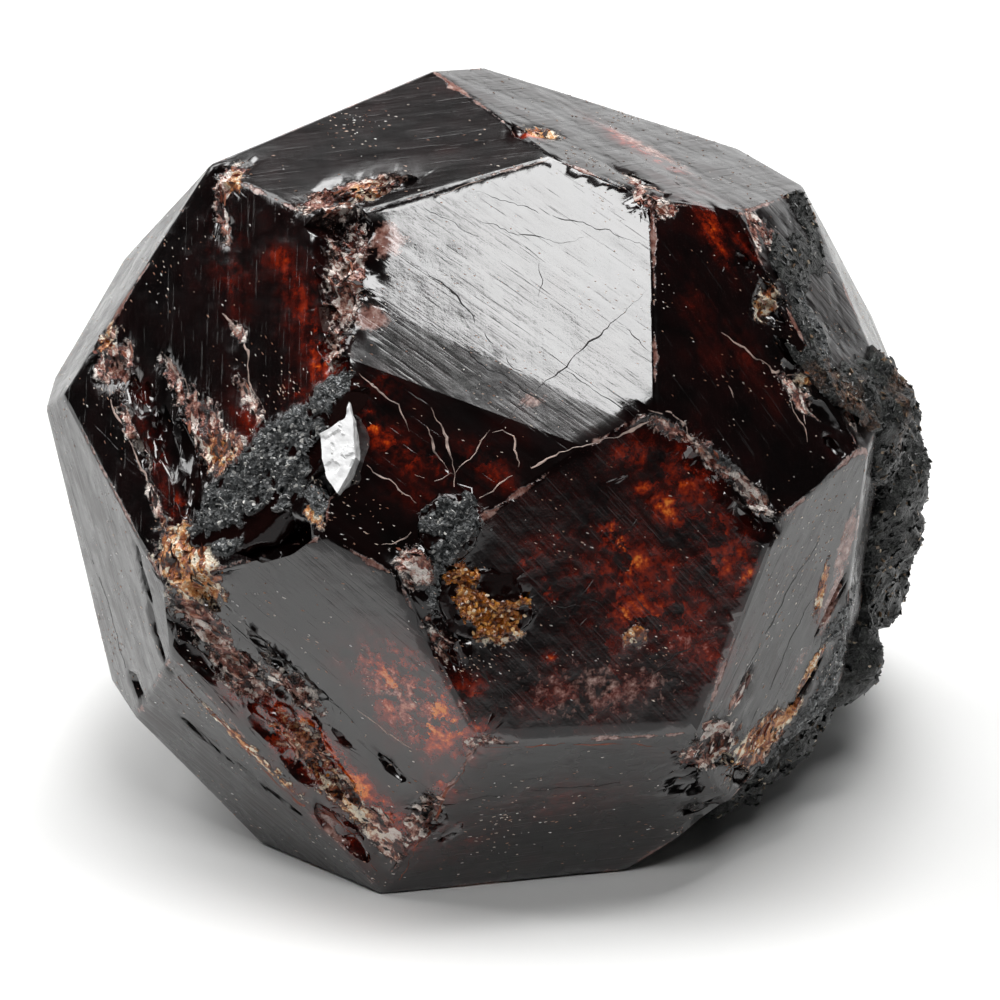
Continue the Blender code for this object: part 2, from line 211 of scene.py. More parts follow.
# Broken ground, crushed and rough.
BROKEN = (
    ((222, 452), 1.7, 1.1, -30, 1.0),
    ((205, 430), 2.6, 1.1, -60, 0.8),
    ((176, 385), 2.2, 0.5, -62, 0.7),
    ((248, 400), 1.8, 0.5, -60, 0.6),
    ((238, 332), 0.9, 0.4, -50, 0.7),
    ((186, 560), 1.7, 1.3, -50, 1.0),
    ((200, 625), 2.2, 1.2, -50, 0.8),
    ((290, 690), 2.8, 1.3, -40, 0.52),
    ((235, 672), 2.2, 1.2, -46, 0.8),
    ((300, 750), 2.4, 1.3, -46, 0.6),
    ((345, 800), 2.2, 1.0, -48, 0.66),
    ((382, 836), 1.8, 1.0, -55, 0.85),
    ((345, 270), 3.2, 1.0, 86, 0.8),
    ((640, 188), 1.6, 0.45, -50, 0.8),
    ((668, 206), 0.6, 0.4, -40, 0.9),
    ((350, 192), 2.6, 0.9, 16, 0.85),
    ((335, 340), 1.8, 0.5, 86, 0.7),
    ((672, 430), 1.6, 0.5, -20, 0.7),
    ((716, 461), 1.6, 0.5, -42, 0.85),
    ((752, 495), 1.6, 0.5, -48, 0.85),
    ((766, 232), 2.0, 0.9, -50, 0.7),
    ((754, 228), 1.6, 0.3, -72, 0.8),
    ((800, 395), 1.6, 0.7, -50, 0.66),
    ((846, 402), 1.5, 0.6, -70, 0.8),
    ((768, 303), 1.1, 0.5, 70, 0.8),
    ((716, 748), 1.9, 1.3, 20, 0.9),
    ((765, 742), 2.0, 1.3, 50, 0.9),
    ((738, 700), 1.6, 0.5, 62, 0.7),
    ((112, 362), 1.2, 0.9, 30, 1.0),
    ((104, 338), 1.0, 0.5, 50, 0.8),
    ((130, 430), 2.6, 0.35, -66, 0.7),
    ((155, 505), 2.0, 0.35, -68, 0.7),
    ((420, 822), 2.2, 0.8, 58, 0.7),
    ((415, 568), 1.2, 0.9, -50, 0.8),
    ((440, 640), 1.6, 0.6, -60, 0.6),
    ((662, 204), 0.7, 0.6, 30, 0.95),
    ((640, 180), 1.6, 0.4, -30, 0.7),
    ((226, 178), 1.2, 0.7, 60, 0.8),
    ((221, 222), 1.2, 0.4, -72, 0.8),
    ((540, 132), 1.0, 0.5, -10, 0.8),
    ((478, 745), 1.0, 0.5, 0, 0.6),
)

# Rust and iron stain: gold and orange on what lies under it.
RUST = (
    ((186, 562), 2.2, 1.6, -50, 1.0),
    ((222, 455), 1.6, 1.0, -30, 0.6),
    ((462, 584), 1.4, 0.7, -52, 1.0),
    ((478, 602), 1.0, 0.8, -40, 1.0),
    ((498, 620), 1.4, 1.2, 0, 1.0),
    ((636, 636), 0.6, 0.5, 0, 0.9),
    ((768, 303), 1.0, 0.6, 60, 1.0),
    ((808, 378), 0.8, 0.4, 0, 0.8),
    ((320, 455), 1.4, 0.4, 80, 0.9),
    ((314, 515), 0.9, 0.5, -50, 0.8),
    ((300, 745), 2.4, 1.2, -46, 0.4),
    ((340, 800), 3.4, 1.0, -44, 0.5),
    ((250, 750), 4.0, 0.6, -44, 0.6),
    ((755, 745), 2.8, 1.6, 40, 0.66),
    ((822, 590), 1.8, 0.4, 78, 0.8),
    ((812, 668), 1.6, 0.5, 62, 0.8),
    ((790, 716), 1.4, 0.6, 50, 0.8),
    ((232, 182), 0.9, 0.5, -70, 0.7),
    ((104, 338), 1.0, 0.6, 50, 0.8),
    ((366, 188), 1.0, 0.6, 20, 0.7),
    ((545, 132), 1.2, 0.6, -10, 0.8),
    ((456, 503), 0.5, 0.35, 0, 1.0),
)

# Fine grey mica schist stuck on the faces.
MICA = (
    ((336, 386), 1.0, 0.6, 50, 1.0),
    ((322, 402), 1.0, 0.8, 50, 1.0),
    ((300, 428), 1.5, 1.1, 40, 1.0),
    ((276, 446), 1.6, 1.3, 30, 1.0),
    ((252, 478), 2.4, 1.6, 40, 1.0),
    ((222, 508), 2.0, 1.3, 40, 1.0),
    ((292, 474), 1.4, 1.1, 70, 1.0),
    ((316, 500), 1.0, 0.5, -60, 0.9),
    ((225, 545), 1.0, 0.6, 20, 0.9),
    ((452, 524), 1.4, 1.1, 0, 1.0),
    ((446, 548), 1.0, 0.7, 80, 1.0),
    ((441, 574), 0.9, 0.4, -80, 0.9),
    ((436, 600), 0.9, 0.5, -70, 0.8),
    ((795, 265), 1.2, 0.7, -70, 0.9),
    ((800, 298), 1.6, 0.8, -70, 1.0),
    ((815, 330), 1.6, 0.8, -62, 1.0),
    ((826, 362), 1.2, 0.5, -62, 0.9),
    ((722, 458), 1.3, 0.3, -42, 0.7),
    ((846, 615), 2.4, 0.8, 74, 1.0),
    ((834, 668), 2.4, 1.0, 66, 1.0),
    ((812, 716), 2.2, 1.2, 52, 1.0),
    ((780, 762), 2.2, 1.2, 42, 1.0),
)
SPOTS = {"glow": GLOWS, "blush": BLUSHES, "broken": BROKEN, "rust": RUST, "mica": MICA}
SPOT_FALL = 0.9  # how steeply a spot fades from its middle
SPOT_DEPTH_SHARE = 0.2  # how much a step into the crystal counts beside one along its face

# Veins and cracks: half width in mm and the places that the line runs through.
PALE_VEINS = (
    (0.04, ((473, 506), (500, 484), (536, 467), (560, 453), (604, 440))),
    (0.05, ((604, 440), (632, 430), (652, 418))),
    (0.045, ((382, 545), (405, 539), (424, 526), (434, 516))),
    (0.05, ((432, 407), (446, 438), (454, 474), (452, 496))),
    (0.035, ((427, 426), (437, 455), (454, 474))),
    (0.03, ((454, 474), (473, 456), (492, 431))),
    (0.035, ((492, 431), (503, 428), (512, 437), (519, 467))),
    (0.03, ((354, 457), (391, 484), (427, 513))),
    (0.03, ((415, 474), (434, 482), (454, 474))),
    (0.03, ((412, 430), (398, 405), (372, 386), (352, 368))),
    (0.07, ((222, 314), (234, 328), (248, 351), (251, 385), (265, 414))),
    (0.05, ((159, 348), (172, 366), (184, 380), (190, 402))),
    (0.06, ((104, 372), (116, 417), (127, 437), (145, 477), (156, 509), (165, 532))),
    (0.08, ((98, 365), (112, 380), (128, 368))),
    (0.05, ((721, 333), (747, 351), (772, 371), (797, 376), (822, 381))),
    (0.04, ((728, 386), (735, 396))),
    (0.06, ((791, 402), (803, 424), (806, 442))),
    (0.04, ((808, 402), (805, 424))),
    (0.05, ((747, 211), (755, 232), (761, 252))),
    (0.03, ((404, 206), (470, 184), (554, 158))),
    (0.03, ((303, 636), (339, 663))),
    (0.03, ((358, 709), (392, 736), (412, 748))),
    (0.05, ((648, 410), (682, 420), (693, 441), (716, 461), (735, 475), (749, 494), (766, 509))),
)
DARK_CRACKS = (
    (0.03, ((412, 261), (456, 295), (478, 327), (505, 358), (531, 385))),
    (0.025, ((398, 300), (439, 331), (475, 358), (505, 378), (531, 397), (572, 419), (598, 436))),
    (0.025, ((648, 290), (614, 321), (569, 362), (543, 385), (500, 424))),
    (0.02, ((565, 370), (601, 395), (638, 416))),
    (0.02, ((475, 191), (514, 203), (548, 215), (587, 225), (640, 242))),
    (0.018, ((458, 208), (480, 220), (509, 231), (541, 237), (563, 244), (584, 238))),
    (0.018, ((422, 208), (451, 222), (478, 237))),
    (0.02, ((540, 262), (541, 280), (540, 297))),
    (0.02, ((614, 321), (652, 353))),
    (0.05, ((820, 539), (791, 584), (775, 618), (747, 667), (733, 699))),
    (0.03, ((812, 600), (790, 640), (770, 690))),
    (0.05, ((427, 640), (444, 653), (456, 665), (470, 668))),
    (0.09, ((459, 665), (473, 668), (488, 679), (495, 687))),
    (0.03, ((495, 687), (507, 706), (512, 716))),
    (0.03, ((456, 689), (476, 725))),
    (0.03, ((392, 576), (412, 610), (429, 641))),
    (0.03, ((638, 684), (668, 662), (694, 645), (716, 636))),
    (0.025, ((587, 723), (604, 710), (621, 699))),
    (0.025, ((556, 604), (580, 608))),
    (0.03, ((590, 599), (611, 614))),
    (0.025, ((626, 582), (633, 594), (650, 612), (670, 631))),
    (0.03, ((674, 590), (682, 599))),
    (0.025, ((684, 616), (711, 633))),
    (0.03, ((206, 590), (230, 622), (262, 650), (300, 668))),
    (0.03, ((300, 668), (330, 700), (352, 722))),
    (0.03, ((92, 560), (104, 590), (118, 640), (126, 668))),
    (0.03, ((470, 800), (540, 790), (620, 784))),
)
RUST_VEINS = (
    (0.08, ((165, 658), (218, 719), (271, 777), (324, 811), (351, 832), (376, 872))),
    (0.06, ((400, 880), (424, 836), (448, 792), (470, 756))),
    (0.05, ((700, 742), (640, 744), (560, 744), (484, 748))),
    (0.06, ((320, 428), (316, 455), (322, 484))),
)
VEIN_STEP = 0.22 * MM  # between two rings of a vein or crack
VEIN_WANDER = 0.2 * MM  # how far it strays slowly from its line
VEIN_JITTER = 0.04  # mm, how far each ring strays on its own
VEIN_CREST = 0.012 * MM  # how high it stands out
VEIN_ROOT = 0.05 * MM  # how deep it reaches in
LEAST_SWELL = 0.35  # share of its width below which it breaks off

# The white flake, from the tip of its thin strip round by the right in the main view's picture.
FLAKE_OUTLINE = (
    (349, 402), (353, 420), (354, 440), (355, 457), (347, 476), (337, 493), (326, 476), (322, 456),
    (320, 434), (332, 427), (345, 418),
)
FLAKE_FACING = (-16.0, 33.0)  # bearing and rise of its normal in degrees
FLAKE_PROUD = 0.15 * MM  # how far it stands out from the crystal's faces
FLAKE_THICKNESS = 1.3 * MM

# Strewn grains: sizes along, across and through in metres, lean in radians.
PATCH_FLAKES = {
    "Grains per area": 33e6,
    "Least size": (0.08 * MM, 0.06 * MM, 0.015 * MM),
    "Greatest size": (0.36 * MM, 0.22 * MM, 0.05 * MM),
    "Lean": 0.9,
    "Seed": 3,
}
STUCK_FLAKES = {
    "Cover attribute": "mica",
    "Least cover": 0.35,
    "Corners": 5,
    "Grains per area": 32e6,
    "Least size": (0.07 * MM, 0.05 * MM, 0.015 * MM),
    "Greatest size": (0.32 * MM, 0.18 * MM, 0.05 * MM),
    "Lean": 0.8,
    "Follow lanes": 0.5,
    "Seed": 17,
}
CRUST_GRAINS = {
    "Grains per area": 19e6,
    "Least size": (0.1 * MM, 0.1 * MM, 0.08 * MM),
    "Greatest size": (0.42 * MM, 0.36 * MM, 0.3 * MM),
    "Lean": 1.2,
    "Plates": False,
    "Seed": 5,
}
RUST_GRAINS = {
    "Cover attribute": "rust",
    "Least cover": 0.35,
    "Grains per area": 8e6,
    "Least size": (0.06 * MM, 0.06 * MM, 0.04 * MM),
    "Greatest size": (0.3 * MM, 0.24 * MM, 0.14 * MM),
    "Lean": 1.0,
    "Plates": False,
    "Seed": 19,
}
SPLINTERS = {
    "Cover attribute": "broken",
    "Grains per area": 9e6,
    "Least cover": 0.3,
    "Corners": 4,
    "Least size": (0.14 * MM, 0.05 * MM, 0.02 * MM),
    "Greatest size": (0.8 * MM, 0.26 * MM, 0.1 * MM),
    "Lean": 0.35,
    "Follow lanes": 0.85,
    "Seed": 7,
}
SPECKS = {
    "Cover attribute": "speckle",
    "Grains per area": 5.5e6,
    "Corners": 4,
    "Least size": (0.02 * MM, 0.02 * MM, 0.02 * MM),
    "Greatest size": (0.2 * MM, 0.06 * MM, 0.04 * MM),
    "Lean": 0.3,
    "Follow lanes": 0.6,
    "Seed": 11,
}
SCHIST_FLAKES = {
    "Grains per area": 5.6e6,
    "Corners": 4,
    "Least size": (0.1 * MM, 0.08 * MM, 0.02 * MM),
    "Greatest size": (0.5 * MM, 0.34 * MM, 0.06 * MM),
    "Lean": 0.9,
    "Seed": 13,
}

# Meshes
WELD_DISTANCE = 1e-6  # corners of a solid's loose triangles that are closer are one
TINTED_EDGE_LENGTH = 0.45 * MM  # longest edge of the crystal's mesh where its colour changes
SEATED_EDGE_LENGTH = 0.22 * MM  # of a seated mineral's mesh
FLAKE_EDGE_LENGTH = 0.16 * MM  # of the white flake's mesh
SCHIST_EDGE_LENGTH = 0.5 * MM  # of the schist's mesh
ROUGH_FROM = 0.25  # spot level from which the crystal's mesh is made finer
SHARPEST_BLEND = 0.15  # faces that turn less than this, in radians, share no worn edge
FRESH_DEPTH = 0.25 * MM  # a break this far under the growth face looks fresh
LANE_SPACING = 40.0  # mm between the striation maps of two crystal faces
CLEAN_BELOW = 0.5 * MM  # no specks lower than this
BIT_SIZE = 0.85 * MM  # of the crushed bits on broken ground
BIT_HEIGHT = 0.3 * MM  # how far they stand up
SEATED_GROWTH = 0.26  # mm that a seated mineral grows to close the gap round it
SCHIST_CONTACT = 0.36 * MM  # schist that comes closer to the crystal lies on it
SCHIST_OVERLAP = 0.12 * MM  # and reaches this far in
FILM_FROM = 22.0 * MM  # above this height the schist thins out to a film
FILM_FADE = 3.0 * MM  # over which it does so
WEATHERED_HEIGHT = 22.0 * MM  # the schist is brownest at this height
WEATHERED_REACH = 4.0 * MM  # and brown as far as this above and below it

# Tones of grains from the darkest to the lightest.
MICA_TONES = (
    (0.0, "#0e0f10"), (0.35, "#2c2e2f"), (0.7, "#5c5e5e"), (0.92, "#9a9a98"), (1.0, "#e8e6e0"),
)
RUST_TONES = (
    (0.0, "#2c160b"), (0.35, "#8c4716"), (0.65, "#cc8636"), (0.86, "#e8b878"), (1.0, "#fbf0dc"),
)
# Splinters: crushed garnet, their palest tones partly painted glints of small facets that catch the
# light.
SPLINTER_AND_GLINT_TONES = (
    (0.0, "#0c0504"), (0.4, "#2a0f0a"), (0.62, "#6e2e1c"), (0.8, "#a8705a"), (0.94, "#d8bcae"),
    (1.0, "#f4ebe2"),
)
# Specks: dust and crushed bits, their white tones partly painted glints.
SPECK_AND_GLINT_TONES = ((0.0, "#7c4a34"), (0.4, "#c09880"), (0.65, "#ecdccc"), (1.0, "#ffffff"))
SCHIST_TONES = (
    (0.0, "#080909"), (0.6, "#1c1e1d"), (0.85, "#3e403d"), (0.95, "#7c6248"), (1.0, "#c9bba6"),
)
MICA_GROUND = ((0.34, "#0c0d0d"), (0.47, "#282a2b"), (0.58, "#56595a"), (0.72, "#aeb0ae"))
RUST_GROUND = ((0.34, "#1c0c05"), (0.46, "#7a3c10"), (0.56, "#c47a2c"), (0.7, "#f0d4a4"))
WHITE_FLAKE = ((0.3, "#3a3630"), (0.35, "#ffffff"))
BARE_GARNET = "#160706"  # garnet that shows through a seated mineral's grains
BARE_ROUGHNESS = 0.14

NOISE_SEED = 1  # without it noise.noise_vector is drawn anew in every run


def linear(hex_colour):
    """An sRGB hex colour as a linear red, green and blue."""
    levels = [int(hex_colour[i:i + 2], 16) / 255 for i in (1, 3, 5)]
    return [c / 12.92 if c <= 0.04045 else ((c + 0.055) / 1.055) ** 2.4 for c in levels]


class GarnetCrystalSettings(bpy.types.PropertyGroup):
    """Mesh and finish of the crystal."""

    edge_length: FloatProperty(
        name="Edge length",
        description="Longest edge of the crystal's fine mesh",
        default=0.9 * MM,
        min=0.2 * MM,
        subtype="DISTANCE",
        unit="LENGTH",
    )
    rubble_edge_length: FloatProperty(
        name="Rubble edge length",
        description="Longest edge of the mesh where the crystal is broken or has schist on it",
        default=0.3 * MM,
        min=0.1 * MM,
        subtype="DISTANCE",
        unit="LENGTH",
    )
    waviness: FloatProperty(
        name="Waviness",
        description="Height of the slow swells of a crystal face",
        default=0.04 * MM,
        subtype="DISTANCE",
        unit="LENGTH",
    )
    refraction: FloatProperty(
        name="Refraction",
        description="Index of refraction of almandine",
        default=1.78,
        min=1.0,
        max=2.5,
    )
    vein_colour: FloatVectorProperty(
        name="Vein colour",
        description="Colour of the healed cracks",
        default=linear("#cbb3a8"),
        size=3,
        subtype="COLOR",
    )


class GarnetSchistSettings(bpy.types.PropertyGroup):
    """Mesh of the schist."""

    lump_height: FloatProperty(
        name="Lump height",
        description="Height of the lumps on the broken schist",
        default=0.3 * MM,
        subtype="DISTANCE",
        unit="LENGTH",
    )


class GarnetStageSettings(bpy.types.PropertyGroup):
    """Floor and lights."""

    floor_front: FloatProperty(
        name="Floor in front",
        description="How far the card reaches in front of the specimen",
        default=34 * MM,
        subtype="DISTANCE",
        unit="LENGTH",
    )
    floor_side: FloatProperty(
        name="Floor behind and beside",
        description="How far the card reaches behind and beside the specimen",
        default=0.5,
        subtype="DISTANCE",
        unit="LENGTH",
    )
    key_power: FloatProperty(
        name="Key power",
        description="Power of the soft light in front",
        default=1.08,
        unit="POWER",
    )
    top_power: FloatProperty(
        name="Top power",
        description="Power of the soft light overhead",
        default=4.6,
        unit="POWER",
    )
    left_power: FloatProperty(
        name="Left power",
        description="Power of the soft light at the upper left",
        default=2.9,
        unit="POWER",
    )
    back_power: FloatProperty(
        name="Back power",
        description="Power of the wide light behind",
        default=4.2,
        unit="POWER",
    )
    card_colour: FloatVectorProperty(
        name="Card colour",
        description="Colour of the card that the specimen stands on",
        default=linear("#f2f2f1"),
        size=3,
        subtype="COLOR",
    )


# Shared helpers


def node(tree, kind, settings=None, links=None):
    """Adds a node. A setting is a property, a socket's value, or a colour ramp's stops, which
    are (position, hex colour or level). A link feeds a socket from a socket, or from a node's
    first output in use."""
    made = tree.nodes.new(kind)
    for key, value in (settings or {}).items():
        if key == "stops":
            steps = made.color_ramp.elements
            while len(steps) < len(value):
                steps.new(0.5)
            for step, (position, colour) in zip(steps, value):
                step.position = position
                step.color = (*(linear(colour) if isinstance(colour, str) else [colour] * 3), 1.0)
        elif isinstance(key, str) and hasattr(made, key):
            setattr(made, key, value)
        else:
            made.inputs[key].default_value = value
    for key, source in (links or {}).items():
        if isinstance(source, bpy.types.Node):
            source = next(output for output in source.outputs if output.enabled)
        tree.links.new(source, made.inputs[key])
    return made


def new_material(name):
    """A node material with its tree and its Principled shader."""
    material = bpy.data.materials.new(name)
    material.use_nodes = True
    tree = material.node_tree
    shader = tree.nodes["Principled BSDF"]
    return material, tree, shader


def place_in_mm(tree):
    """The place on the object, in millimetres."""
    place = node(tree, "ShaderNodeTexCoord").outputs["Object"]
    return node(tree, MAPPING, {"Scale": (1 / MM, 1 / MM, 1 / MM)}, {"Vector": place})


def finish_shader(tree, shader, colour, roughness, height=None, bump=None):
    """Feeds a shader its colour, its roughness as a number or a socket, and its relief: bump is
    the strength and the depth of a height of 1."""
    tree.links.new(colour, shader.inputs["Base Color"])
    if isinstance(roughness, float):
        shader.inputs["Roughness"].default_value = roughness
    else:
        tree.links.new(roughness, shader.inputs["Roughness"])
    if height is not None:
        strength, depth = bump
        relief = node(tree, "ShaderNodeBump", {"Strength": strength, "Distance": depth},
                      {"Height": height})
        tree.links.new(relief.outputs["Normal"], shader.inputs["Normal"])


def direction(bearing, rise):
    """Unit vector at a bearing from the viewer's side and a rise above the horizon."""
    b = math.radians(bearing)
    r = math.radians(rise)
    return Vector((math.sin(b) * math.cos(r), -math.cos(b) * math.cos(r), math.sin(r)))


def view_axes():
    """The main view's right, up and towards-the-viewer directions."""
    back = direction(0.0, VIEW_RISE)
    right = Vector((1.0, 0.0, 0.0))
    return right, back.cross(right), back


def camera_place():
    right, up, back = view_axes()
    return CENTRE + MM * (VIEW_SHIFT[0] * right + VIEW_SHIFT[1] * up + VIEW_DISTANCE * back)


def sight_line(x, y):
    """Unit vector from the camera through a place of the picture."""
    right, up, back = view_axes()
    pixel = SENSOR / PICTURE_SIDE / LENS
    half = PICTURE_SIDE / 2
    return ((x - half) * pixel * right + (half - y) * pixel * up - back).normalized()


def seen_at(tree, place):
    """The point and the normal of a surface where the main view shows it."""
    point, normal, _, _ = tree.ray_cast(camera_place(), sight_line(*place))
    if point is None:
        raise ValueError(f"nothing is seen at {place}")
    return point, normal


def along_face(normal, turn, ray):
    """The direction in a face that the main view shows at a turn from level."""
    right, up, _ = view_axes()
    seen = math.cos(math.radians(turn)) * right + math.sin(math.radians(turn)) * up
    return normal.cross(seen.cross(ray)).normalized()


def merged_form(name):
    """A welded copy of a solid's mesh."""
    form = bmesh.new()
    form.from_mesh(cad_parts[name].data)
    bmesh.ops.remove_doubles(form, verts=form.verts, dist=WELD_DISTANCE)
    return form


def halve(form, edges):
    """Halves edges and makes every face a triangle again. A triangle that comes out as thin as a
    line has a twin on the same three corners, and both go."""
    bmesh.ops.subdivide_edges(form, edges=edges, cuts=1)
    bmesh.ops.triangulate(form, faces=[face for face in form.faces if len(face.verts) > 3])
    alike = {}
    for face in form.faces:
        alike.setdefault(frozenset(face.verts), []).append(face)
    twins = [face for faces in alike.values() if len(faces) > 1 for face in faces]
    bmesh.ops.delete(form, geom=twins, context="FACES")


def refine(form, edge_length):
    """Halves every edge longer than edge_length, again and again."""
    for _ in range(9):
        long_edges = [edge for edge in form.edges if edge.calc_length() > edge_length]
        if not long_edges:
            break
        halve(form, long_edges)


def press_up_to_floor(mesh):
    """Presses whatever dips under the resting plane up to it."""
    places = np.empty(3 * len(mesh.vertices), dtype=np.float32)
    mesh.vertices.foreach_get("co", places)
    places[2::3] = np.maximum(places[2::3], 0.0)
    mesh.vertices.foreach_set("co", places)


def to_piece(form, name, material, sharp_from=None):
    """Turns a bmesh into a piece in the scene, pressed up to the resting plane."""
    mesh = bpy.data.meshes.new(name)
    form.to_mesh(mesh)
    form.free()
    press_up_to_floor(mesh)
    piece = bpy.data.objects.new(name, mesh)
    bpy.context.scene.collection.objects.link(piece)
    mesh.materials.append(material)
    if sharp_from is not None:
        mesh.shade_smooth()
        mesh.set_sharp_from_angle(angle=math.radians(sharp_from))
    return piece


def crystal_faces():
    """Normal and distance from CENTRE of every large flat face of the crystal's solid."""
    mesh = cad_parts["garnet_crystal"].data
    found = []
    for polygon in sorted(mesh.polygons, key=lambda p: -p.area):
        normal = polygon.normal
        distance = normal.dot(polygon.center - CENTRE)
        for group in found:
            agrees = group[0].dot(normal) > SAME_FACE_COSINE
            if agrees and abs(group[1] - distance) < SAME_FACE_STEP:
                group[2] += polygon.area
                break
        else:
            found.append([normal.copy(), distance, polygon.area])
    return [(normal, distance) for normal, distance, area in found if area > FACE_LEAST_AREA * MM * MM]


@functools.cache
def crystal_planes():
    """Normals of the large faces and their distances from CENTRE, as arrays."""
    faces = crystal_faces()
    return np.array([normal for normal, _ in faces]), np.array([distance for _, distance in faces])


def finish_of(normal):
    """The finish of the crystal face with this normal."""
    for bearing, rise, *finish in FACE_FINISH.values():
        if direction(bearing, rise).dot(normal) > FINISH_COSINE:
            return finish
    return OTHER_FACE_FINISH


def seen_whole(place):
    """The point and the normal of the unbroken crystal where the main view shows it."""
    normals, distances = crystal_planes()
    start = np.array(camera_place() - CENTRE)
    line = np.array(sight_line(*place))
    fall = normals @ line
    reach = np.where(fall < 0.0, (distances - normals @ start) / np.minimum(fall, -1e-9), 0.0)
    owner = int(reach.argmax())
    return CENTRE + Vector(start + reach[owner] * line), Vector(normals[owner])


def spread(spots):
    """Turns (place, half length, half width, turn, strength) rows into frames on the crystal."""
    frames = []
    for place, length, width, turn, strength in spots:
        point, normal = seen_whole(place)
        along = along_face(normal, turn, sight_line(*place))
        frames.append((point, along, normal.cross(along), length * MM, width * MM, strength))
    return frames


def spot_levels(points, frames):
    """How strongly the spots cover each point, from 0 to 1."""
    levels = np.zeros(len(points))
    for middle, along, across, length, width, strength in frames:
        offsets = points - np.array(middle)
        reach = (offsets @ np.array(along) / length) ** 2
        reach += (offsets @ np.array(across) / width) ** 2
        reach += SPOT_DEPTH_SHARE * (offsets @ np.array(along.cross(across)) / width) ** 2
        levels = np.maximum(levels, strength * np.exp(-SPOT_FALL * reach))
    return levels


def places_of(form):
    """The places of a bmesh's vertices as an array."""
    return np.array([vert.co for vert in form.verts])


# Materials


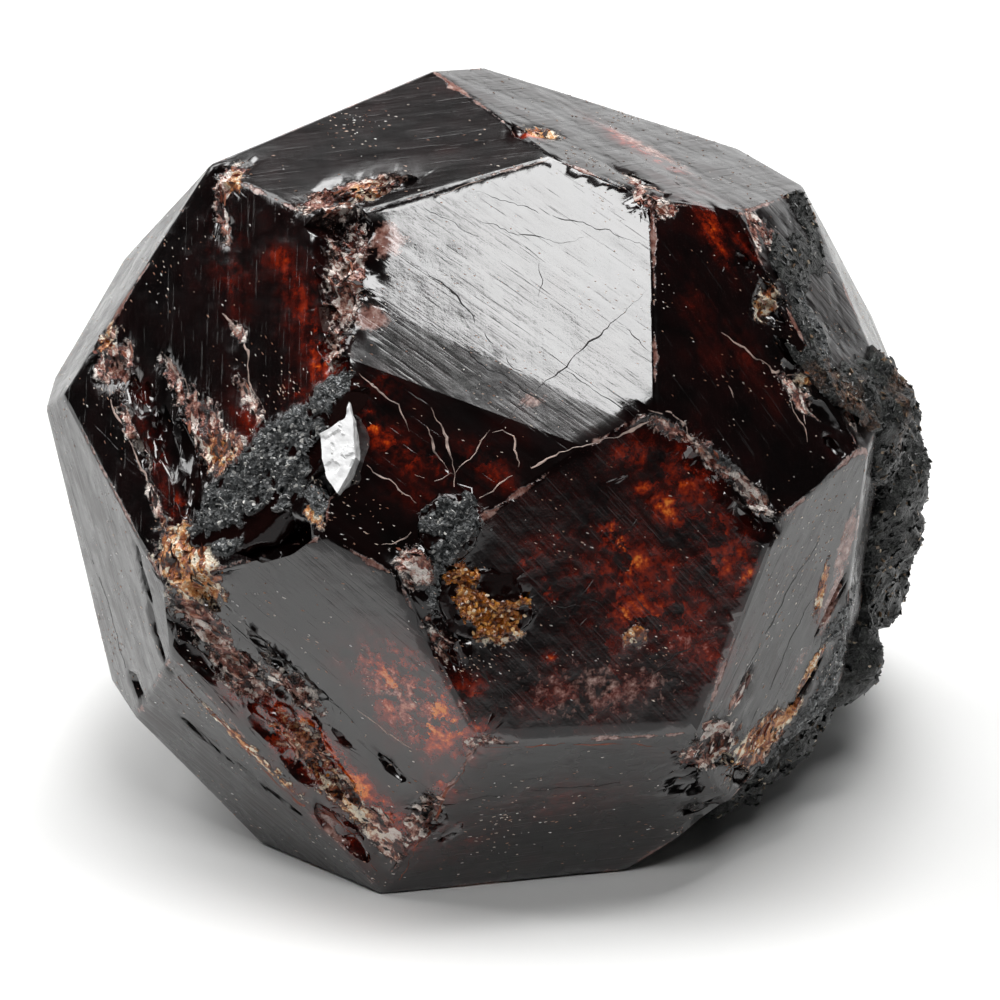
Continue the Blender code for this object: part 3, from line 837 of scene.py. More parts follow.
def garnet_material(refraction):
    """Almandine garnet, natural growth faces: dark and glassy, finely striated, with a painted glow:
    the red light that comes back from cracks inside is painted into the base colour; dull and
    crushed where it is broken, worn along its edges."""
    material, tree, shader = new_material("almandine_growth_faces")
    spot = place_in_mm(tree)
    lanes = node(tree, "ShaderNodeUVMap", {"uv_map": "lanes"})
    level = {}
    for name in ("glow", "blush", "broken", "rust", "mica", "rim", "striation",
                 "pitted", "roughness"):
        level[name] = node(tree, ATTRIBUTE, {"attribute_name": name}).outputs["Fac"]

    # Slow mottle and fine flecks, and a wandering place that makes cells ragged.
    mottle = node(tree, NOISE, {"Scale": 0.42, "Detail": 2.0, "Roughness": 0.62}, {"Vector": spot})
    fleck = node(tree, NOISE, {"Scale": 2.4, "Detail": 3.0, "Roughness": 0.7}, {"Vector": spot})
    stray = node(tree, VECTOR_MATH, {"operation": "MULTIPLY_ADD", 1: (0.9, 0.9, 0.9)},
                 {0: fleck.outputs["Color"], 2: spot})

    broad_lanes = node(tree, MAPPING, {"Scale": (0.07, 1.9, 1)}, {"Vector": lanes})
    broad = node(tree, NOISE, {"Scale": 1.0, "Detail": 2.0, "Roughness": 0.6}, {"Vector": broad_lanes})

    # Painted glow: planes of cracks inside, a millimetre or two wide, send red light back, painted
    # into the base colour.
    cracks_inside = node(tree, VORONOI, {"Scale": 0.75}, {"Vector": stray.outputs[0]})
    plane_light = node(tree, SPLIT, {}, {"Color": cracks_inside.outputs["Color"]})
    glow_and_mottle = node(tree, MATH, {"operation": "MULTIPLY_ADD", 1: 2.7, 2: -0.95}, {0: fleck})
    glow_and_mottle = node(tree, MATH, {"operation": "MULTIPLY_ADD", 1: 0.8}, {0: plane_light, 2: glow_and_mottle})
    streak = node(tree, MATH, {"operation": "MULTIPLY_ADD", 1: 2.4, 2: -1.2}, {0: broad})
    glow_and_mottle = node(tree, MATH, {"operation": "MULTIPLY_ADD"}, {0: streak, 1: level["striation"], 2: glow_and_mottle})
    glow_and_mottle = node(tree, MATH, {"operation": "MULTIPLY"}, {0: glow_and_mottle, 1: level["glow"]})
    slow = node(tree, MATH, {"operation": "MULTIPLY_ADD", 1: 0.5, 2: -0.2}, {0: mottle})
    glow_and_mottle = node(tree, MATH, {"operation": "ADD", "use_clamp": True}, {0: glow_and_mottle, 1: slow})
    # Painted glow: the ramp's reds and oranges stand in for light from inside; its darkest stops are
    # the garnet's own tone.
    body = node(tree, RAMP, {"stops": (
        (0.0, "#070303"), (0.12, "#120505"), (0.28, "#2c0906"), (0.46, "#561207"),
        (0.64, "#8c2409"), (0.82, "#c84a10"), (1.0, "#f08a30"))}, {"Fac": glow_and_mottle})

    # Cloudy pink skin, and the worn line along the edges.
    pink = node(tree, RAMP, {"stops": ((0.3, "#5c3029"), (0.5, "#94675c"), (0.72, "#cdb0a6"))},
                {"Fac": fleck})
    cloudy = node(tree, MATH, {"operation": "MULTIPLY_ADD", 1: 0.8, 2: -0.4}, {0: fleck})
    cloudy = node(tree, MATH, {"operation": "ADD"}, {0: cloudy, 1: level["blush"]})
    cloudy = node(tree, RAMP, {"stops": ((0.3, 0.0), (0.52, 0.85))}, {"Fac": cloudy})
    colour = node(tree, MIX, {"data_type": "RGBA"}, {0: cloudy, 6: body, 7: pink})
    reach = node(tree, MATH, {"operation": "MULTIPLY_ADD", 1: 0.9, 2: -0.34}, {0: mottle})
    reach = node(tree, MATH, {"operation": "MULTIPLY_ADD", 1: 0.45}, {0: fleck, 2: reach})
    reach = node(tree, MATH, {"operation": "SUBTRACT"}, {0: reach, 1: level["rim"]})
    worn = node(tree, RAMP, {"stops": ((0.28, 0.0), (0.36, 0.8))}, {"Fac": reach})
    colour = node(tree, MIX, {"data_type": "RGBA"}, {0: worn, 6: colour, 7: pink})

    # Broken ground: a mosaic of crushed bits under a millimetre wide, each with its own tone.
    bit_lanes = node(tree, MAPPING, {"Scale": (1.3, 3.4, 1)}, {"Vector": lanes})
    bit_lanes = node(tree, VECTOR_MATH, {"operation": "MULTIPLY_ADD", 1: (1.3, 1.3, 1.3)},
                     {0: fleck.outputs["Color"], 2: bit_lanes})
    bits = node(tree, VORONOI, {"Scale": 1.0}, {"Vector": bit_lanes})
    bit_tone = node(tree, SPLIT, {}, {"Color": bits.outputs["Color"]})
    tone = node(tree, MATH, {"operation": "MULTIPLY_ADD", 1: 1.3, 2: -0.35}, {0: fleck})
    tone = node(tree, MATH, {"operation": "MULTIPLY_ADD", 1: 0.62}, {0: bit_tone, 2: tone})
    crushed = node(tree, RAMP, {"stops": (
        (0.1, "#080302"), (0.3, "#1c0906"), (0.44, "#4a1a10"), (0.56, "#8a4634"),
        (0.68, "#c49482"), (0.82, "#f2e6de"))}, {"Fac": tone})
    rusty = node(tree, RAMP, {"stops": (
        (0.1, "#0a0503"), (0.28, "#2c1206"), (0.42, "#743410"), (0.56, "#b86422"),
        (0.7, "#dc9c54"), (0.84, "#fbeed6"))}, {"Fac": tone})
    stained = node(tree, MATH, {"operation": "MULTIPLY_ADD", 1: 0.9, 2: -0.35}, {0: fleck})
    stained = node(tree, MATH, {"operation": "ADD"}, {0: stained, 1: level["rust"]})
    stained = node(tree, RAMP, {"stops": ((0.35, 0.0), (0.6, 1.0))}, {"Fac": stained})
    rubble = node(tree, MIX, {"data_type": "RGBA"}, {0: stained, 6: crushed, 7: rusty})
    ragged = node(tree, MATH, {"operation": "MULTIPLY_ADD", 1: 1.1, 2: -0.55}, {0: fleck})
    broken = node(tree, MATH, {"operation": "MAXIMUM"}, {0: level["broken"], 1: level["rust"]})
    broken = node(tree, MATH, {"operation": "ADD"}, {0: broken, 1: ragged})
    broken = node(tree, RAMP, {"stops": ((0.36, 0.0), (0.5, 1.0))}, {"Fac": broken})
    colour = node(tree, MIX, {"data_type": "RGBA"}, {0: broken, 6: colour, 7: rubble})

    # Grey mica schist stuck on: scaly grains a third of a millimetre wide.
    scales = node(tree, NOISE, {"Scale": 3.6, "Detail": 2.0, "Roughness": 0.75}, {"Vector": spot})
    grey = node(tree, RAMP, {"stops": (
        (0.36, "#0b0c0c"), (0.48, "#26292a"), (0.58, "#54585a"), (0.7, "#a9abab"))}, {"Fac": scales})
    stuck = node(tree, MATH, {"operation": "ADD"}, {0: level["mica"], 1: ragged})
    stuck = node(tree, RAMP, {"stops": ((0.42, 0.0), (0.5, 1.0))}, {"Fac": stuck})
    colour = node(tree, MIX, {"data_type": "RGBA"}, {0: stuck, 6: colour, 7: grey})

    # Striations: broad and fine lines along each face's lanes, fading in and out, with a few
    # deeper scratches and long pits between them.
    fine_lanes = node(tree, MAPPING, {"Scale": (0.25, 6.5, 1)}, {"Vector": lanes})
    fine = node(tree, NOISE, {"Scale": 1.0, "Detail": 2.0, "Roughness": 0.65}, {"Vector": fine_lanes})
    scratch = node(tree, RAMP, {"stops": ((0.30, 0.0), (0.37, 1.0))}, {"Fac": fine})
    pit_lanes = node(tree, MAPPING, {"Scale": (1.5, 4.2, 1)}, {"Vector": lanes})
    pits = node(tree, VORONOI, {"Scale": 1.0}, {"Vector": pit_lanes})
    pit_size = node(tree, SPLIT, {}, {"Color": pits.outputs["Color"]})
    pit = node(tree, MATH, {"operation": "MULTIPLY_ADD", 1: 0.6},
               {0: pit_size, 2: pits.outputs["Distance"]})
    pit = node(tree, RAMP, {"stops": ((0.14, -1.0), (0.28, 0.0))}, {"Fac": pit})
    dent = node(tree, MATH, {"operation": "MULTIPLY"}, {0: pit, 1: level["pitted"]})
    fading = node(tree, RAMP, {"stops": ((0.34, 0.15), (0.6, 1.0))}, {"Fac": mottle})
    depth = node(tree, MATH, {"operation": "MULTIPLY"}, {0: level["striation"], 1: fading})
    grooves = node(tree, MATH, {"operation": "MULTIPLY_ADD", 1: 0.45}, {0: fine, 2: broad})
    grooves = node(tree, MATH, {"operation": "MULTIPLY_ADD", 1: 0.5}, {0: scratch, 2: grooves})
    grooves = node(tree, MATH, {"operation": "MULTIPLY"}, {0: grooves, 1: depth})
    grooves = node(tree, MATH, {"operation": "MULTIPLY_ADD", 1: 1.5}, {0: dent, 2: grooves})
    grooves = node(tree, MATH, {"operation": "MULTIPLY_ADD", 1: 0.05}, {0: fleck, 2: grooves})

    # Each crushed bit leans its own way, and the scales stand up.
    from_bit = node(tree, VECTOR_MATH, {"operation": "SUBTRACT"},
                    {0: bit_lanes, 1: bits.outputs["Position"]})
    lean = node(tree, VECTOR_MATH, {"operation": "SUBTRACT", 1: (0.5, 0.5, 0.5)},
                {0: bits.outputs["Color"]})
    facet = node(tree, VECTOR_MATH, {"operation": "DOT_PRODUCT"}, {0: from_bit, 1: lean})
    facet = node(tree, MATH, {"operation": "MULTIPLY_ADD", 1: 1.4},
                 {0: fleck, 2: facet.outputs["Value"]})
    ground = node(tree, MATH, {"operation": "MULTIPLY"}, {0: facet, 1: broken})
    ground = node(tree, MATH, {"operation": "MULTIPLY_ADD", 1: 2.2}, {0: ground, 2: grooves})
    scale_height = node(tree, MATH, {"operation": "MULTIPLY"}, {0: scales, 1: stuck})
    height = node(tree, MATH, {"operation": "MULTIPLY_ADD", 1: 3.2}, {0: scale_height, 2: ground})
    height = node(tree, MATH, {"operation": "MULTIPLY_ADD", 1: -0.35}, {0: worn, 2: height})

    # Gloss: glassy, a little smeared on the pitted faces, dull where it is broken or has schist on.
    gloss = node(tree, MATH, {"operation": "MULTIPLY_ADD", 1: 0.12, 2: -0.06}, {0: broad})
    gloss = node(tree, MATH, {"operation": "ADD"}, {0: gloss, 1: level["roughness"]})
    smear = node(tree, MATH, {"operation": "MULTIPLY_ADD", 1: 1.2, 2: -0.55}, {0: mottle})
    smear = node(tree, MATH, {"operation": "MULTIPLY"}, {0: smear, 1: level["pitted"]})
    gloss = node(tree, MATH, {"operation": "MULTIPLY_ADD", 1: 0.35}, {0: smear, 2: gloss})
    gloss = node(tree, MATH, {"operation": "MULTIPLY_ADD", 1: -0.5}, {0: dent, 2: gloss})
    dull = node(tree, MATH, {"operation": "MAXIMUM"}, {0: broken, 1: stuck})
    gloss = node(tree, MATH, {"operation": "MULTIPLY_ADD", 1: 0.2, "use_clamp": True},
                 {0: dull, 2: gloss})
    finish_shader(tree, shader, colour.outputs[2], gloss.outputs[0], height.outputs[0],
                  bump=(0.9, 0.1 * MM))
    shader.inputs["IOR"].default_value = refraction
    return material


def vein_material(name, colour, roughness):
    """A healed crack: fine crushed mineral that fills it and shows as a thin line."""
    material, tree, shader = new_material(name)
    mottle = node(tree, NOISE, {"Scale": 1.6, "Detail": 5.0}, {"Vector": place_in_mm(tree)})
    dark = [0.25 * level for level in colour]
    share = node(tree, RAMP, {"stops": ((0.35, 0.0), (0.6, 1.0))}, {"Fac": mottle})
    mix = node(tree, MIX, {"data_type": "RGBA", 6: (*dark, 1.0), 7: (*colour, 1.0)}, {0: share})
    finish_shader(tree, shader, mix.outputs[2], roughness)
    return material


def schist_material():
    """Biotite and chlorite schist, broken by hammer: dark scaly rock with brown weathering."""
    material, tree, shader = new_material("mica_schist_broken")
    spot = place_in_mm(tree)
    weathering = node(tree, ATTRIBUTE, {"attribute_name": "rust"}).outputs["Fac"]
    coarse = node(tree, NOISE, {"Scale": 0.5, "Detail": 3.0}, {"Vector": spot})
    grain = node(tree, NOISE, {"Scale": 2.6, "Detail": 3.0, "Roughness": 0.74}, {"Vector": spot})
    scaly = node(tree, RAMP, {"stops": (
        (0.34, "#040505"), (0.48, "#101211"), (0.6, "#282b29"), (0.72, "#5c5f5b"),
        (0.82, "#a8a9a4"))}, {"Fac": grain})
    rusty = node(tree, RAMP, {"stops": (
        (0.34, "#120a06"), (0.5, "#4c2e1c"), (0.64, "#94684a"), (0.78, "#d2b496"))}, {"Fac": grain})
    share = node(tree, MATH, {"operation": "MULTIPLY_ADD", 1: 2.4, 2: -1.36}, {0: coarse})
    share = node(tree, MATH, {"operation": "ADD", "use_clamp": True}, {0: share, 1: weathering})
    share = node(tree, RAMP, {"stops": ((0.2, 0.0), (0.7, 0.9))}, {"Fac": share})
    mix = node(tree, MIX, {"data_type": "RGBA"}, {0: share, 6: scaly, 7: rusty})
    finish_shader(tree, shader, mix.outputs[2], 0.4, grain.outputs[0], bump=(1.0, 0.3 * MM))
    return material


def ground_material(name, stops, grain_per_mm, roughness):
    """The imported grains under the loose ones, mottled dark, middle and light, with the dark
    garnet bare where the attribute cover is low."""
    material, tree, shader = new_material(name)
    spot = place_in_mm(tree)
    cover = node(tree, ATTRIBUTE, {"attribute_name": "cover"}).outputs["Fac"]
    grain = node(tree, NOISE, {"Scale": grain_per_mm, "Detail": 3.0, "Roughness": 0.74},
                 {"Vector": spot})
    tones = node(tree, RAMP, {"stops": stops}, {"Fac": grain})
    edge = node(tree, RAMP, {"stops": ((0.3, 0.0), (0.5, 1.0))}, {"Fac": cover})
    mix = node(tree, MIX, {"data_type": "RGBA", 6: (*linear(BARE_GARNET), 1.0)}, {0: edge, 7: tones})
    gloss = node(tree, RAMP, {"stops": ((0.3, BARE_ROUGHNESS), (0.5, roughness))}, {"Fac": cover})
    grain = node(tree, MATH, {"operation": "MULTIPLY"}, {0: grain, 1: edge})
    finish_shader(tree, shader, mix.outputs[2], gloss.outputs["Color"], grain.outputs[0],
                  bump=(1.0, 0.22 * MM))
    return material


def flake_material(name, stops):
    """A cleaved sheet of muscovite: nearly white, glossy, with a few dark pits."""
    material, tree, shader = new_material(name)
    spot = place_in_mm(tree)
    grain = node(tree, NOISE, {"Scale": 2.2, "Detail": 5.0, "Roughness": 0.6}, {"Vector": spot})
    tones = node(tree, RAMP, {"stops": stops}, {"Fac": grain})
    finish_shader(tree, shader, tones.outputs["Color"], 0.22, grain.outputs[0],
                  bump=(0.4, 0.12 * MM))
    return material


def grain_material(name, stops, roughness):
    """Loose or seated grains, each in its own tone from the attribute tone."""
    material, tree, shader = new_material(name)
    tone = node(tree, ATTRIBUTE, {"attribute_name": "tone"}).outputs["Fac"]
    tones = node(tree, RAMP, {"stops": stops}, {"Fac": tone})
    finish_shader(tree, shader, tones.outputs["Color"], roughness)
    return material


# Pieces


def crystal_mesh(settings, spots):
    """The crystal's solid as a mesh that is finer where its ground or its colour changes."""
    form = merged_form("garnet_crystal")
    refine(form, settings.edge_length)
    for _ in range(3):
        rough = spot_levels(places_of(form), spots["broken"] + spots["mica"] + spots["rust"])
        tinted = spot_levels(places_of(form), spots["glow"] + spots["blush"])
        longest = np.where(tinted > ROUGH_FROM, TINTED_EDGE_LENGTH, settings.edge_length)
        longest[rough > ROUGH_FROM] = settings.rubble_edge_length
        form.verts.index_update()
        halve(form, [edge for edge in form.edges if edge.calc_length() > longest[edge.verts[0].index]])
    return form


def mark_faces(form):
    """Gives every small face the finish of its crystal face and a map along the striations."""
    faces = crystal_faces()
    finishes = [finish_of(normal) for normal, _ in faces]
    normals, distances = crystal_planes()
    lanes = form.loops.layers.uv.new("lanes")
    striation = form.faces.layers.float.new("striation")
    pitted = form.faces.layers.float.new("pitted")
    roughness = form.faces.layers.float.new("roughness")
    lane = form.faces.layers.float_vector.new("lane")
    axes = []
    for (normal, _), (turn, *_) in zip(faces, finishes):
        level = Vector((0.0, 0.0, 1.0)).cross(normal)
        level = level.normalized() if level.length > 0.01 else Vector((1.0, 0.0, 0.0))
        along = Matrix.Rotation(math.radians(turn), 3, normal) @ level
        axes.append((along, normal.cross(along)))
    middles = np.array([face.calc_center_median() for face in form.faces]) - np.array(CENTRE)
    gaps = middles @ normals.T - distances
    for face, owner, gap in zip(form.faces, gaps.argmax(axis=1), gaps.max(axis=1)):
        fresh = min(1.0, max(0.0, -gap / FRESH_DEPTH - 0.3))
        _, depth, pit_depth, rough = finishes[owner]
        face[striation] = depth * (1.0 - 0.6 * fresh)
        face[pitted] = pit_depth * (1.0 - fresh)
        face[roughness] = rough - 0.06 * fresh
        along, across = axes[owner]
        face[lane] = along
        for loop in face.loops:
            place = (loop.vert.co - CENTRE) / MM
            loop[lanes].uv = (place.dot(along) + LANE_SPACING * owner, place.dot(across))


def point_levels(form, spots):
    """How strongly each vertex is under each kind of spot, near an edge and speckled."""
    points = places_of(form)
    levels = {name: spot_levels(points, frames) for name, frames in spots.items()}
    normals, distances = crystal_planes()
    gaps = (points - np.array(CENTRE)) @ normals.T - distances
    turns = np.linalg.norm(normals[:, None] - normals[None], axis=2)[gaps.argmax(axis=1)]
    to_edge = (gaps.max(axis=1)[:, None] - gaps) / np.maximum(turns, SHARPEST_BLEND)
    to_edge[turns < SHARPEST_BLEND] = 1.0
    levels["rim"] = to_edge.min(axis=1) / MM
    clouds = [noise.fractal(vert.co / (4.0 * MM), 1.0, 2.0, 3) for vert in form.verts]
    speckle = np.array([0.08 + max(0.0, cloud) ** 2 * 2.4 for cloud in clouds])
    levels["speckle"] = speckle * (points[:, 2] > CLEAN_BELOW)
    return levels


def roughen_crystal(form, levels, waviness):
    """Moves the vertices out and in: slow swells, crushed ground and lumps under the schist."""
    form.normal_update()
    moves = []
    for index, vert in enumerate(form.verts):
        height = waviness * (noise.noise(vert.co / (7.0 * MM)) - 0.5)
        level = levels["broken"][index]
        if level > 0.05:
            height += BIT_HEIGHT * min(1.0, 1.6 * level) * crushed_height(vert.co)
        level = max(levels["mica"][index], 0.6 * levels["rust"][index])
        if level > 0.3:
            lump = noise.fractal(vert.co / (0.7 * MM), 1.0, 2.0, 3)
            height += MM * min(0.2, level - 0.3) * (0.35 + lump)
        moves.append(float(height))
    for vert, move in zip(form.verts, moves):
        vert.co += move * vert.normal
        keep_in_box(vert)


def shape_crystal(settings):
    """The crystal's fine mesh with its attributes."""
    noise.seed_set(NOISE_SEED)
    spots = {name: spread(rows) for name, rows in SPOTS.items()}
    form = crystal_mesh(settings, spots)
    mark_faces(form)
    levels = point_levels(form, spots)
    roughen_crystal(form, levels, settings.waviness)
    for name, values in levels.items():
        layer = form.verts.layers.float.new(name)
        for vert, value in zip(form.verts, values):
            vert[layer] = value
    return form


def keep_in_box(vert):
    """Brings a vertex back into the box of the solids."""
    low, high = SOLIDS_BOX
    for axis in range(3):
        vert.co[axis] = min(max(vert.co[axis], low[axis]), high[axis])


def crushed_height(place):
    """How high crushed ground stands at a place, in bit heights: every bit is a leaning facet."""
    _, corners = noise.voronoi(place / BIT_SIZE)
    corner = corners[0]
    leaning = noise.noise_vector(corner * 7.3)
    step = noise.noise(corner * 3.1)
    return 1.1 * leaning.dot(place / BIT_SIZE - corner) + 0.9 * step - 0.55


def seated_piece(node_name, name, material, lump_mm, mask):
    """A seated mineral, grown to close the gap round it and rubbed down nearly level with the
    crystal's face, with grains where its mask is strong and bare garnet elsewhere."""
    form = merged_form(node_name)
    refine(form, SEATED_EDGE_LENGTH)
    form.normal_update()
    normals, distances = crystal_planes()
    levels = spot_levels(places_of(form), spread(SPOTS[mask]))
    cover = form.verts.layers.float.new("cover")
    for vert, level in zip(form.verts, levels.tolist()):
        lump = noise.fractal(vert.co / (0.7 * MM), 1.0, 2.0, 4)
        grainy = min(1.0, max(0.0, 4.0 * (level + 0.5 * lump - 0.45)))
        vert.co += (SEATED_GROWTH + lump_mm * lump * grainy) * MM * vert.normal
        heights = normals @ np.array(vert.co - CENTRE) - distances
        owner = int(heights.argmax())
        proud = float(heights[owner]) - (0.3 + lump) * lump_mm * MM * grainy
        if proud > 0.0:
            vert.co -= proud * Vector(normals[owner])
        vert[cover] = grainy
    piece = to_piece(form, name, material, sharp_from=35)
    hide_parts(node_name)
    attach(piece, SPECIMEN)
    return piece


def mica_flake(material):
    """The cleaved white mica flake: a thin angular sheet, chipped at its lower end."""
    normal = direction(*FLAKE_FACING)
    level = max(seen_whole(place)[0].dot(normal) for place in FLAKE_OUTLINE) + FLAKE_PROUD
    start = camera_place()
    corners = []
    for place in FLAKE_OUTLINE:
        line = sight_line(*place)
        corners.append(start + (level - start.dot(normal)) / line.dot(normal) * line)
    form = bmesh.new()
    top = [form.verts.new(corner) for corner in corners]
    bottom = [form.verts.new(corner - FLAKE_THICKNESS * normal) for corner in corners]
    form.faces.new(top)
    form.faces.new(bottom[::-1])
    for index in range(len(corners)):
        form.faces.new((top[index - 1], bottom[index - 1], bottom[index], top[index]))
    bmesh.ops.recalc_face_normals(form, faces=form.faces)
    bmesh.ops.triangulate(form, faces=form.faces[:])
    refine(form, FLAKE_EDGE_LENGTH)
    form.normal_update()
    for vert in form.verts:
        ragged = noise.fractal(vert.co / (0.5 * MM), 1.0, 2.0, 3)
        step = 0.08 * round(2.0 * noise.noise(vert.co / (0.9 * MM)))
        vert.co += 0.05 * MM * ragged * vert.normal + step * MM * normal
    piece = to_piece(form, "white_flake", material, sharp_from=20)
    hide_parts("white_mica_flake")
    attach(piece, SPECIMEN)


def ribbon(form, surface, places, half_width, seed):
    """A closed thin ridge that follows a line of places on a surface."""
    draw = random.Random(seed)
    points = [seen_at(surface, place) for place in places]
    stops = []
    for (start, start_normal), (end, end_normal) in zip(points, points[1:]):
        steps = max(2, round((end - start).length / VEIN_STEP))
        for step in range(steps):
            share = step / steps
            stops.append((start.lerp(end, share), start_normal.lerp(end_normal, share)))
    stops.append(points[-1])
    rings = []
    strips = []
    for index, (point, normal) in enumerate(stops):
        before = stops[max(0, index - 1)][0]
        after = stops[min(len(stops) - 1, index + 1)][0]
        across = normal.cross(after - before).normalized()
        wander = VEIN_WANDER * noise.noise(point / (0.8 * MM) + Vector((seed, 0, 0)))
        wander += draw.uniform(-VEIN_JITTER, VEIN_JITTER) * MM
        near, face_normal, _, _ = surface.find_nearest(point + wander * across)
        taper = min(1.0, 0.25 + 2.0 * min(index, len(stops) - 1 - index) / len(stops))
        swell = 1.0 + 1.8 * noise.noise(point / (1.1 * MM) + Vector((0, seed, 0)))
        if swell < LEAST_SWELL:
            rings = []
            continue
        half = half_width * MM * taper * swell * draw.uniform(0.6, 1.2)
        crest = near + VEIN_CREST * face_normal
        root = near - VEIN_ROOT * face_normal
        ring = [crest, near - half * across, root, near + half * across]
        rings.append([form.verts.new(corner) for corner in ring])
        if len(rings) == 1:
            strips.append(rings)
    for strip in strips:
        for first, second in zip(strip, strip[1:]):
            for side in range(4):
                following = (side + 1) % 4
                form.faces.new((first[side], first[following], second[following], second[side]))
        if len(strip) > 1:
            form.faces.new(strip[0][::-1])
            form.faces.new(strip[-1])
        else:
            bmesh.ops.delete(form, geom=strip[0], context="VERTS")


def lay_lines(lines, surface, name, material, seed):
    """All lines of one kind as one piece."""
    form = bmesh.new()
    for count, (half_width, places) in enumerate(lines):
        ribbon(form, surface, places, half_width, seed + count)
    bmesh.ops.recalc_face_normals(form, faces=form.faces)
    piece = to_piece(form, name, material)
    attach(piece, SPECIMEN)
    return piece


def scatter_tree():
    """Geometry Nodes that strew small grains over a surface, where its attribute allows."""
    tree = bpy.data.node_groups.new("strew_grains", "GeometryNodeTree")
    tree.is_modifier = True
    sockets = (
        ("Surface", "NodeSocketGeometry"),
        ("Cover attribute", "NodeSocketString"),
        ("Grains per area", "NodeSocketFloat"),
        ("Least size", "NodeSocketVector"),
        ("Greatest size", "NodeSocketVector"),
        ("Lean", "NodeSocketFloat"),
        ("Follow lanes", "NodeSocketFloat"),
        ("Least cover", "NodeSocketFloat"),
        ("Corners", "NodeSocketInt"),
        ("Plates", "NodeSocketBool"),
        ("Seed", "NodeSocketInt"),
        ("Material", "NodeSocketMaterial"),
    )
    for name, kind in sockets:
        tree.interface.new_socket(name, in_out="INPUT", socket_type=kind)
    tree.interface.new_socket("Grains", in_out="OUTPUT", socket_type="NodeSocketGeometry")
    given = node(tree, "NodeGroupInput").outputs
    cover = node(tree, "GeometryNodeInputNamedAttribute", {"data_type": "FLOAT"},
                 {"Name": given["Cover attribute"]}).outputs["Attribute"]
    cover = node(tree, MATH, {"operation": "SUBTRACT"}, {0: cover, 1: given["Least cover"]})
    density = node(tree, MATH, {"operation": "MULTIPLY"},
                   {0: cover, 1: given["Grains per area"]}).outputs[0]
    points = node(tree, "GeometryNodeDistributePointsOnFaces", {},
                  {"Mesh": given["Surface"], "Density": density, "Seed": given["Seed"]})
    lane = node(tree, "GeometryNodeInputNamedAttribute",
                {"data_type": "FLOAT_VECTOR", "Name": "lane"}).outputs["Attribute"]
    laid = node(tree, "FunctionNodeAlignRotationToVector", {"axis": "X", "pivot_axis": "Z"},
                {"Rotation": points.outputs["Rotation"], "Factor": given["Follow lanes"],
                 "Vector": lane})
    less = node(tree, MATH, {"operation": "MULTIPLY", 1: -1.0}, {0: given["Lean"]}).outputs[0]
    bounds = []
    for bound in (less, given["Lean"]):
        bounds.append(node(tree, "ShaderNodeCombineXYZ", {}, {"X": bound, "Y": bound, "Z": bound}))
    lean = node(tree, "FunctionNodeRandomValue", {"data_type": "FLOAT_VECTOR"},
                {"Min": bounds[0], "Max": bounds[1], "Seed": given["Seed"]})
    lean = node(tree, "FunctionNodeEulerToRotation", {}, {"Euler": lean.outputs[0]})
    turned = node(tree, "FunctionNodeRotateRotation", {"rotation_space": "LOCAL"},
                  {"Rotation": laid.outputs[0], "Rotate By": lean.outputs[0]})
    size = node(tree, "FunctionNodeRandomValue", {"data_type": "FLOAT_VECTOR"},
                {"Min": given["Least size"], "Max": given["Greatest size"],
                 "Seed": given["Seed"]})
    lump = node(tree, "GeometryNodeMeshIcoSphere", {"Radius": 0.5, "Subdivisions": 1})
    plate = node(tree, "GeometryNodeMeshCylinder", {"Radius": 0.5, "Depth": 1.0},
                 {"Vertices": given["Corners"]})
    shape = node(tree, "GeometryNodeSwitch", {"input_type": "GEOMETRY"},
                 {"Switch": given["Plates"], "False": lump.outputs["Mesh"],
                  "True": plate.outputs["Mesh"]})
    grains = node(tree, "GeometryNodeInstanceOnPoints", {},
                  {"Points": points.outputs["Points"], "Instance": shape.outputs[0],
                   "Rotation": turned.outputs[0], "Scale": size.outputs[0]})
    tone = node(tree, "FunctionNodeRandomValue", {"data_type": "FLOAT"}, {"Seed": given["Seed"]})
    toned = node(tree, "GeometryNodeStoreNamedAttribute",
                 {"data_type": "FLOAT", "domain": "INSTANCE", "Name": "tone"},
                 {"Geometry": grains.outputs[0], "Value": tone.outputs[1]})
    real = node(tree, "GeometryNodeRealizeInstances", {}, {"Geometry": toned.outputs[0]})
    dressed = node(tree, "GeometryNodeSetMaterial", {},
                   {"Geometry": real.outputs[0], "Material": given["Material"]})
    node(tree, "NodeGroupOutput", {}, {"Grains": dressed.outputs[0]})
    return tree


def strew(host, name, slot, material, **inputs):
    """Strews grains over a piece and returns them as a piece of their own."""
    tree = bpy.data.node_groups.get("strew_grains") or scatter_tree()
    bed = bpy.data.objects.new(name + "_bed", host.data)
    bpy.context.scene.collection.objects.link(bed)
    modifier = bed.modifiers.new("strew", "NODES")
    modifier.node_group = tree
    values = {
        "Cover attribute": "cover",
        "Least cover": 0.0,
        "Follow lanes": 0.0,
        "Corners": 6,
        "Plates": True,
        "Material": material,
        **inputs,
    }
    for socket in tree.interface.items_tree:
        if socket.in_out == "INPUT" and socket.name in values:
            modifier[socket.identifier] = values[socket.name]
    graph = bpy.context.evaluated_depsgraph_get()
    mesh = bpy.data.meshes.new_from_object(bed.evaluated_get(graph))
    bpy.data.objects.remove(bed)
    press_up_to_floor(mesh)
    piece = bpy.data.objects.new(name, mesh)
    mesh.name = name
    bpy.context.scene.collection.objects.link(piece)
    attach(piece, SPECIMEN)
    return piece


def surface_of(name):
    """Search tree of a finished piece's mesh."""
    mesh = bpy.data.objects[name].data
    form = bmesh.new()
    form.from_mesh(mesh)
    tree = BVHTree.FromBMesh(form)
    form.free()
    return tree


